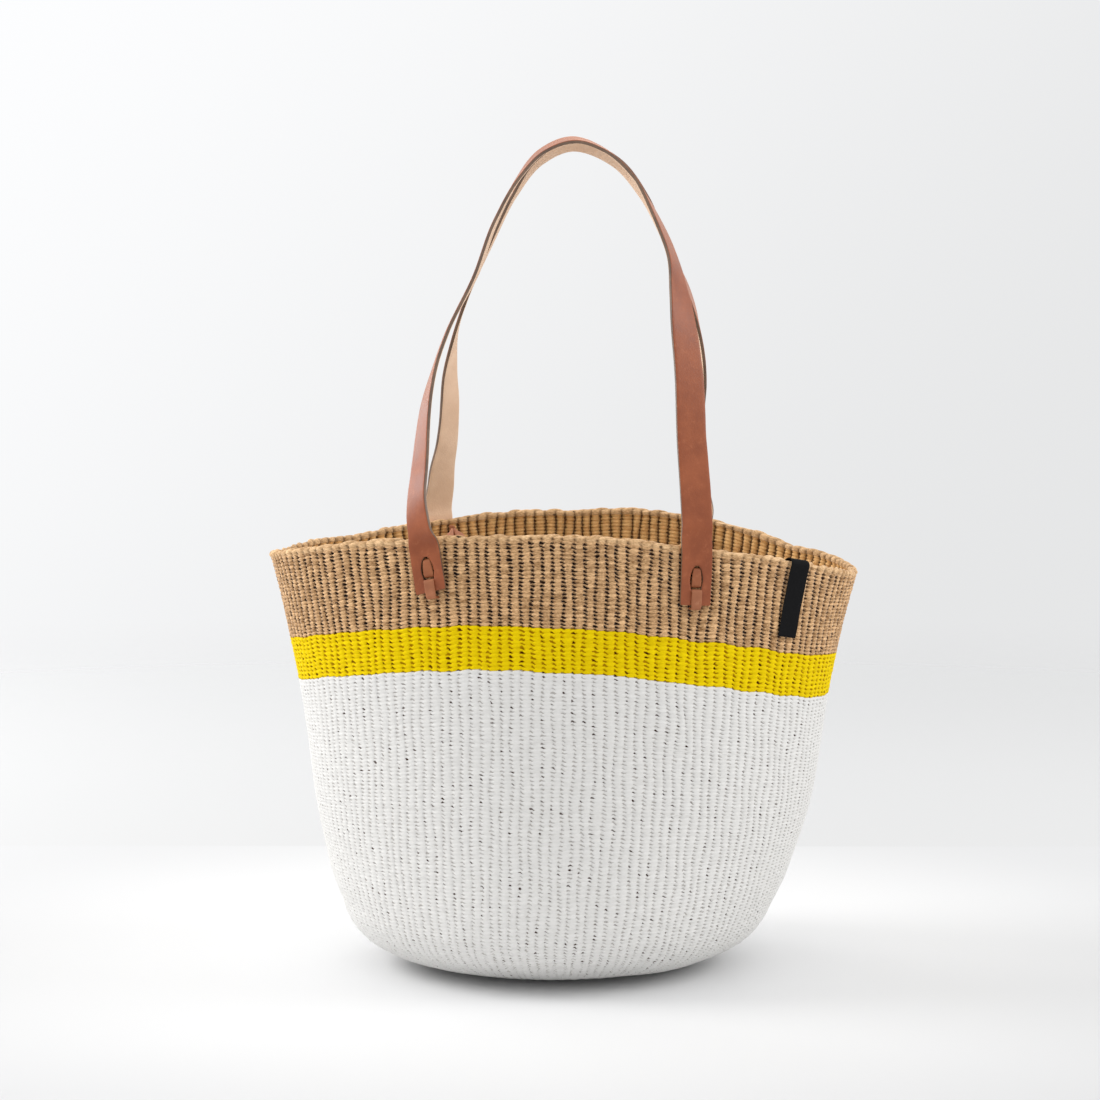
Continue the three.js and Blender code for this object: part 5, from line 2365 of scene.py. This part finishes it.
def weave_finishes() -> dict[Zone, tuple[WeaveFinish, WeaveFinish]]:
    """Gives the outer and inner finish of each band of the weave."""
    # In each finish the third colour is the painted shade of pits, grooves and seams, and the fourth, where
    # given, the painted shadow at the darkest pits.
    return {
        Zone.WHITE: (
            WeaveFinish(
                "white twine",
                (0.86, 0.852, 0.835), (0.66, 0.65, 0.63), (0.32, 0.285, 0.255), (0.045, 0.016, 0.01),
                pit_width=0.21, pit_height=0.19, pit_shade_strength=0.6, core_share=0.075, groove_shade_strength=0.1,
                cavity_shade_strength=0.06,
            ),
            WeaveFinish(
                "white twine inside", (0.8, 0.79, 0.76), (0.62, 0.6, 0.56), (0.25, 0.2, 0.15),
                pit_width=0.1, pit_shade_strength=0.3, groove_shade_strength=0.15, cavity_shade_strength=0.5, core_share=0.0,
            ),
        ),
        Zone.YELLOW: (
            WeaveFinish(
                "yellow twine",
                (0.98, 0.75, 0.003), (0.64, 0.43, 0.001), (0.3, 0.105, 0.001), (0.09, 0.026, 0.001),
                pit_width=0.24, pit_height=0.3, pit_shade_strength=0.75, core_share=0.14, groove_shade_strength=0.22,
                cavity_shade_strength=0.2, specular=0.04,
            ),
            WeaveFinish(
                "yellow twine inside", (0.85, 0.62, 0.004), (0.58, 0.37, 0.002), (0.16, 0.08, 0.004),
                pit_width=0.1, pit_shade_strength=0.3, groove_shade_strength=0.15, cavity_shade_strength=0.6, core_share=0.0,
                specular=0.04,
            ),
        ),
        Zone.TAN: (
            WeaveFinish(
                "tan twine",
                (0.94, 0.6, 0.315), (0.26, 0.13, 0.048), (0.04, 0.014, 0.006), (0.008, 0.003, 0.002),
                pit_width=0.21, pit_height=0.42, core_share=0.5, line_width=0.2, groove_shade_strength=0.55,
                cavity_shade_strength=0.42, seam_shade_strength=0.5, shade_change=0.38, fibre_change=0.85,
                lip_highlight_strength=0.6, sheen=0.26, relief=0.0003,
            ),
            # The tan inside is a lighter copy of the tan twine's colours, painted light on the inner wall.
            WeaveFinish(
                "tan twine inside", (1.0, 0.64, 0.28), (0.6, 0.3, 0.1), (0.04, 0.013, 0.004),
                pit_width=0.16, pit_height=0.3, pit_shade_strength=0.8, groove_shade_strength=0.4, cavity_shade_strength=0.85,
                core_share=0.0, seam_shade_strength=0.85, shade_change=0.34, fibre_change=0.7, sheen=0.14,
            ),
        ),
    }


def leather_finishes() -> list[HideFinish]:
    """Gives the finishes of the straps' grain, flesh and edge and of the laces' three looks."""
    return [
        HideFinish(
            "strap grain", (0.35, 0.094, 0.032), (0.25, 0.061, 0.02), (0.44, 0.145, 0.062), 0.42,
            specular=0.35, sheen=0.75, sheen_tint=(1.0, 0.6, 0.44),
        ),
        HideFinish(
            "strap flesh", (0.86, 0.63, 0.46), (0.76, 0.53, 0.37), (0.9, 0.69, 0.52), 0.85,
            relief=0.0002, sheen=0.1,
        ),
        HideFinish(
            "strap edge", (0.2, 0.12, 0.075), (0.11, 0.065, 0.042), (0.32, 0.2, 0.13), 0.42, specular=0.6
        ),
        # The lace's darker look, painted shade for the stretch in the slot.
        HideFinish(
            "lace shaded in slot", (0.38, 0.13, 0.052), (0.27, 0.08, 0.031), (0.48, 0.2, 0.1), 0.55, specular=0.3
        ),
        HideFinish(
            "lace flesh", (0.43, 0.165, 0.078), (0.31, 0.11, 0.052), (0.5, 0.24, 0.14), 0.7, specular=0.3
        ),
        HideFinish(
            "lace tail", (0.72, 0.34, 0.22), (0.55, 0.24, 0.145), (0.78, 0.42, 0.3), 0.7, specular=0.3
        ),
    ]


def strap_loops(shape: BodyShape) -> list[LoopShape]:
    """Gives the sizes of the front and the back strap.

    Args:
        shape: the woven body's shape.

    Returns:
        The front strap's loop and the back one's.
    """
    front_left = Leg(
        "left", 0.0805, 10.0,
        out=Table(((0.1, 1.03), (0.2, 1.015), (0.35, 0.97), (0.5, 0.85), (0.65, 0.66), (0.78, 0.535),
                   (0.9, 0.37), (0.97, 0.21))),
        twist=Table(((-0.05, 0.0), (-0.02, 0.12), (0.0, 0.31), (0.05, 0.48), (0.1, 0.61), (0.2, 0.76),
                     (0.3, 0.92), (0.42, 1.12), (0.5, 1.11), (0.62, 1.02), (0.8, 0.95))),
        tilt=Table(((0.0, 0.0), (0.45, -13.0), (0.7, 4.0), (0.85, 3.0), (0.94, -5.0), (1.0, -10.5))),
        slot_low=0.0056, slot_high=0.0206, lace_low=-0.0056, cut=0.0014, shift=0.0003,
    )
    front_right = Leg(
        "right", 0.0796, 3.5,
        out=Table(((0.12, 0.985), (0.24, 0.955), (0.38, 0.94), (0.49, 0.91), (0.6, 0.87), (0.69, 0.82),
                   (0.81, 0.665), (0.9, 0.5), (0.97, 0.27))),
        twist=Table(((0.0, 0.0), (0.36, 0.0), (0.49, 0.1), (0.6, 0.46), (0.69, 0.77), (0.75, 0.87),
                     (0.81, 0.98), (0.88, 1.12))),
        tilt=Table(((0.0, 0.0), (0.2, 4.0), (0.45, 11.0), (0.7, 0.0), (0.85, -7.5), (0.94, -8.5),
                    (1.0, -10.5))),
        slot_low=0.0076, slot_high=0.0232, lace_low=-0.0039, shift=-0.0008,
    )
    back_left = Leg(
        "left", 0.083, 4.0,
        out=Table(((0.08, 0.98), (0.14, 0.965), (0.21, 0.93), (0.31, 0.905), (0.4, 0.9), (0.5, 0.86),
                   (0.6, 0.77), (0.75, 0.585), (0.87, 0.42), (0.96, 0.235))),
        twist=Table(((0.0, 0.0), (0.09, 0.17), (0.17, 0.35), (0.25, 0.47), (0.34, 0.56), (0.42, 0.73),
                     (0.51, 0.97), (0.62, 1.05), (0.8, 1.0))),
        tilt=Table(((0.0, 0.0), (0.45, -2.0), (0.7, 3.0), (0.85, 2.0), (0.94, 8.0), (1.0, 14.0))),
        knot_side=-0.0062,
    )
    back_right = Leg(
        "right", 0.092, 5.0,
        out=Table(((0.1, 0.955), (0.2, 0.92), (0.3, 0.925), (0.38, 0.955), (0.45, 0.96), (0.53, 0.93),
                   (0.62, 0.85), (0.75, 0.675), (0.87, 0.515), (0.96, 0.3))),
        twist=Table(((0.0, 0.0), (0.08, 0.0), (0.15, 0.07), (0.25, 0.32), (0.35, 0.48), (0.45, 0.7),
                     (0.6, 0.93), (0.8, 0.97))),
        tilt=Table(((0.0, 0.0), (0.2, -6.0), (0.45, -14.0), (0.7, -9.0), (0.85, 5.0), (0.94, 11.0),
                    (1.0, 14.0))),
        shift=-0.003,
    )
    return [
        LoopShape(shape, -1.0, front_left, front_right),
        LoopShape(shape, 1.0, back_left, back_right, top_height=0.5257, top_setback=0.011),
    ]


def main() -> None:
    """Builds the studio and every piece of the basket, in order."""
    logging.basicConfig(level=logging.INFO, format="%(message)s")
    Studio().build()
    shape = BodyShape()
    workshop = Workshop()
    body = WovenBody(shape, workshop)
    body.build(weave_finishes())
    # The border is a lighter copy of the tan twine's colours, painted light on the rim, and its third colour
    # is the painted shade of its grooves.
    border = WeaveFinish(
        "border cord", (1.0, 0.68, 0.38), (0.4, 0.215, 0.088), (0.045, 0.016, 0.006),
        pit_shade_strength=0.0, core_share=0.0, lip_highlight_strength=0.0, groove_shade_strength=0.0, cavity_shade_strength=0.85,
        shade_change=0.34, fibre_change=0.75, sheen=0.14,
    )
    Border(body).build(border)
    leather = [finish.make(workshop) for finish in leather_finishes()]
    for loop in strap_loops(shape):
        StrapStrip(loop).build(leather[:3])
        for leg in (loop.left, loop.right):
            name = f"{loop.name}_{leg.side}_lace"
            Lace(loop.tie(leg), leg, name).build(leather[3:])
    Label(shape).build(TapeFinish().make())


if __name__ == "__main__":
    main()
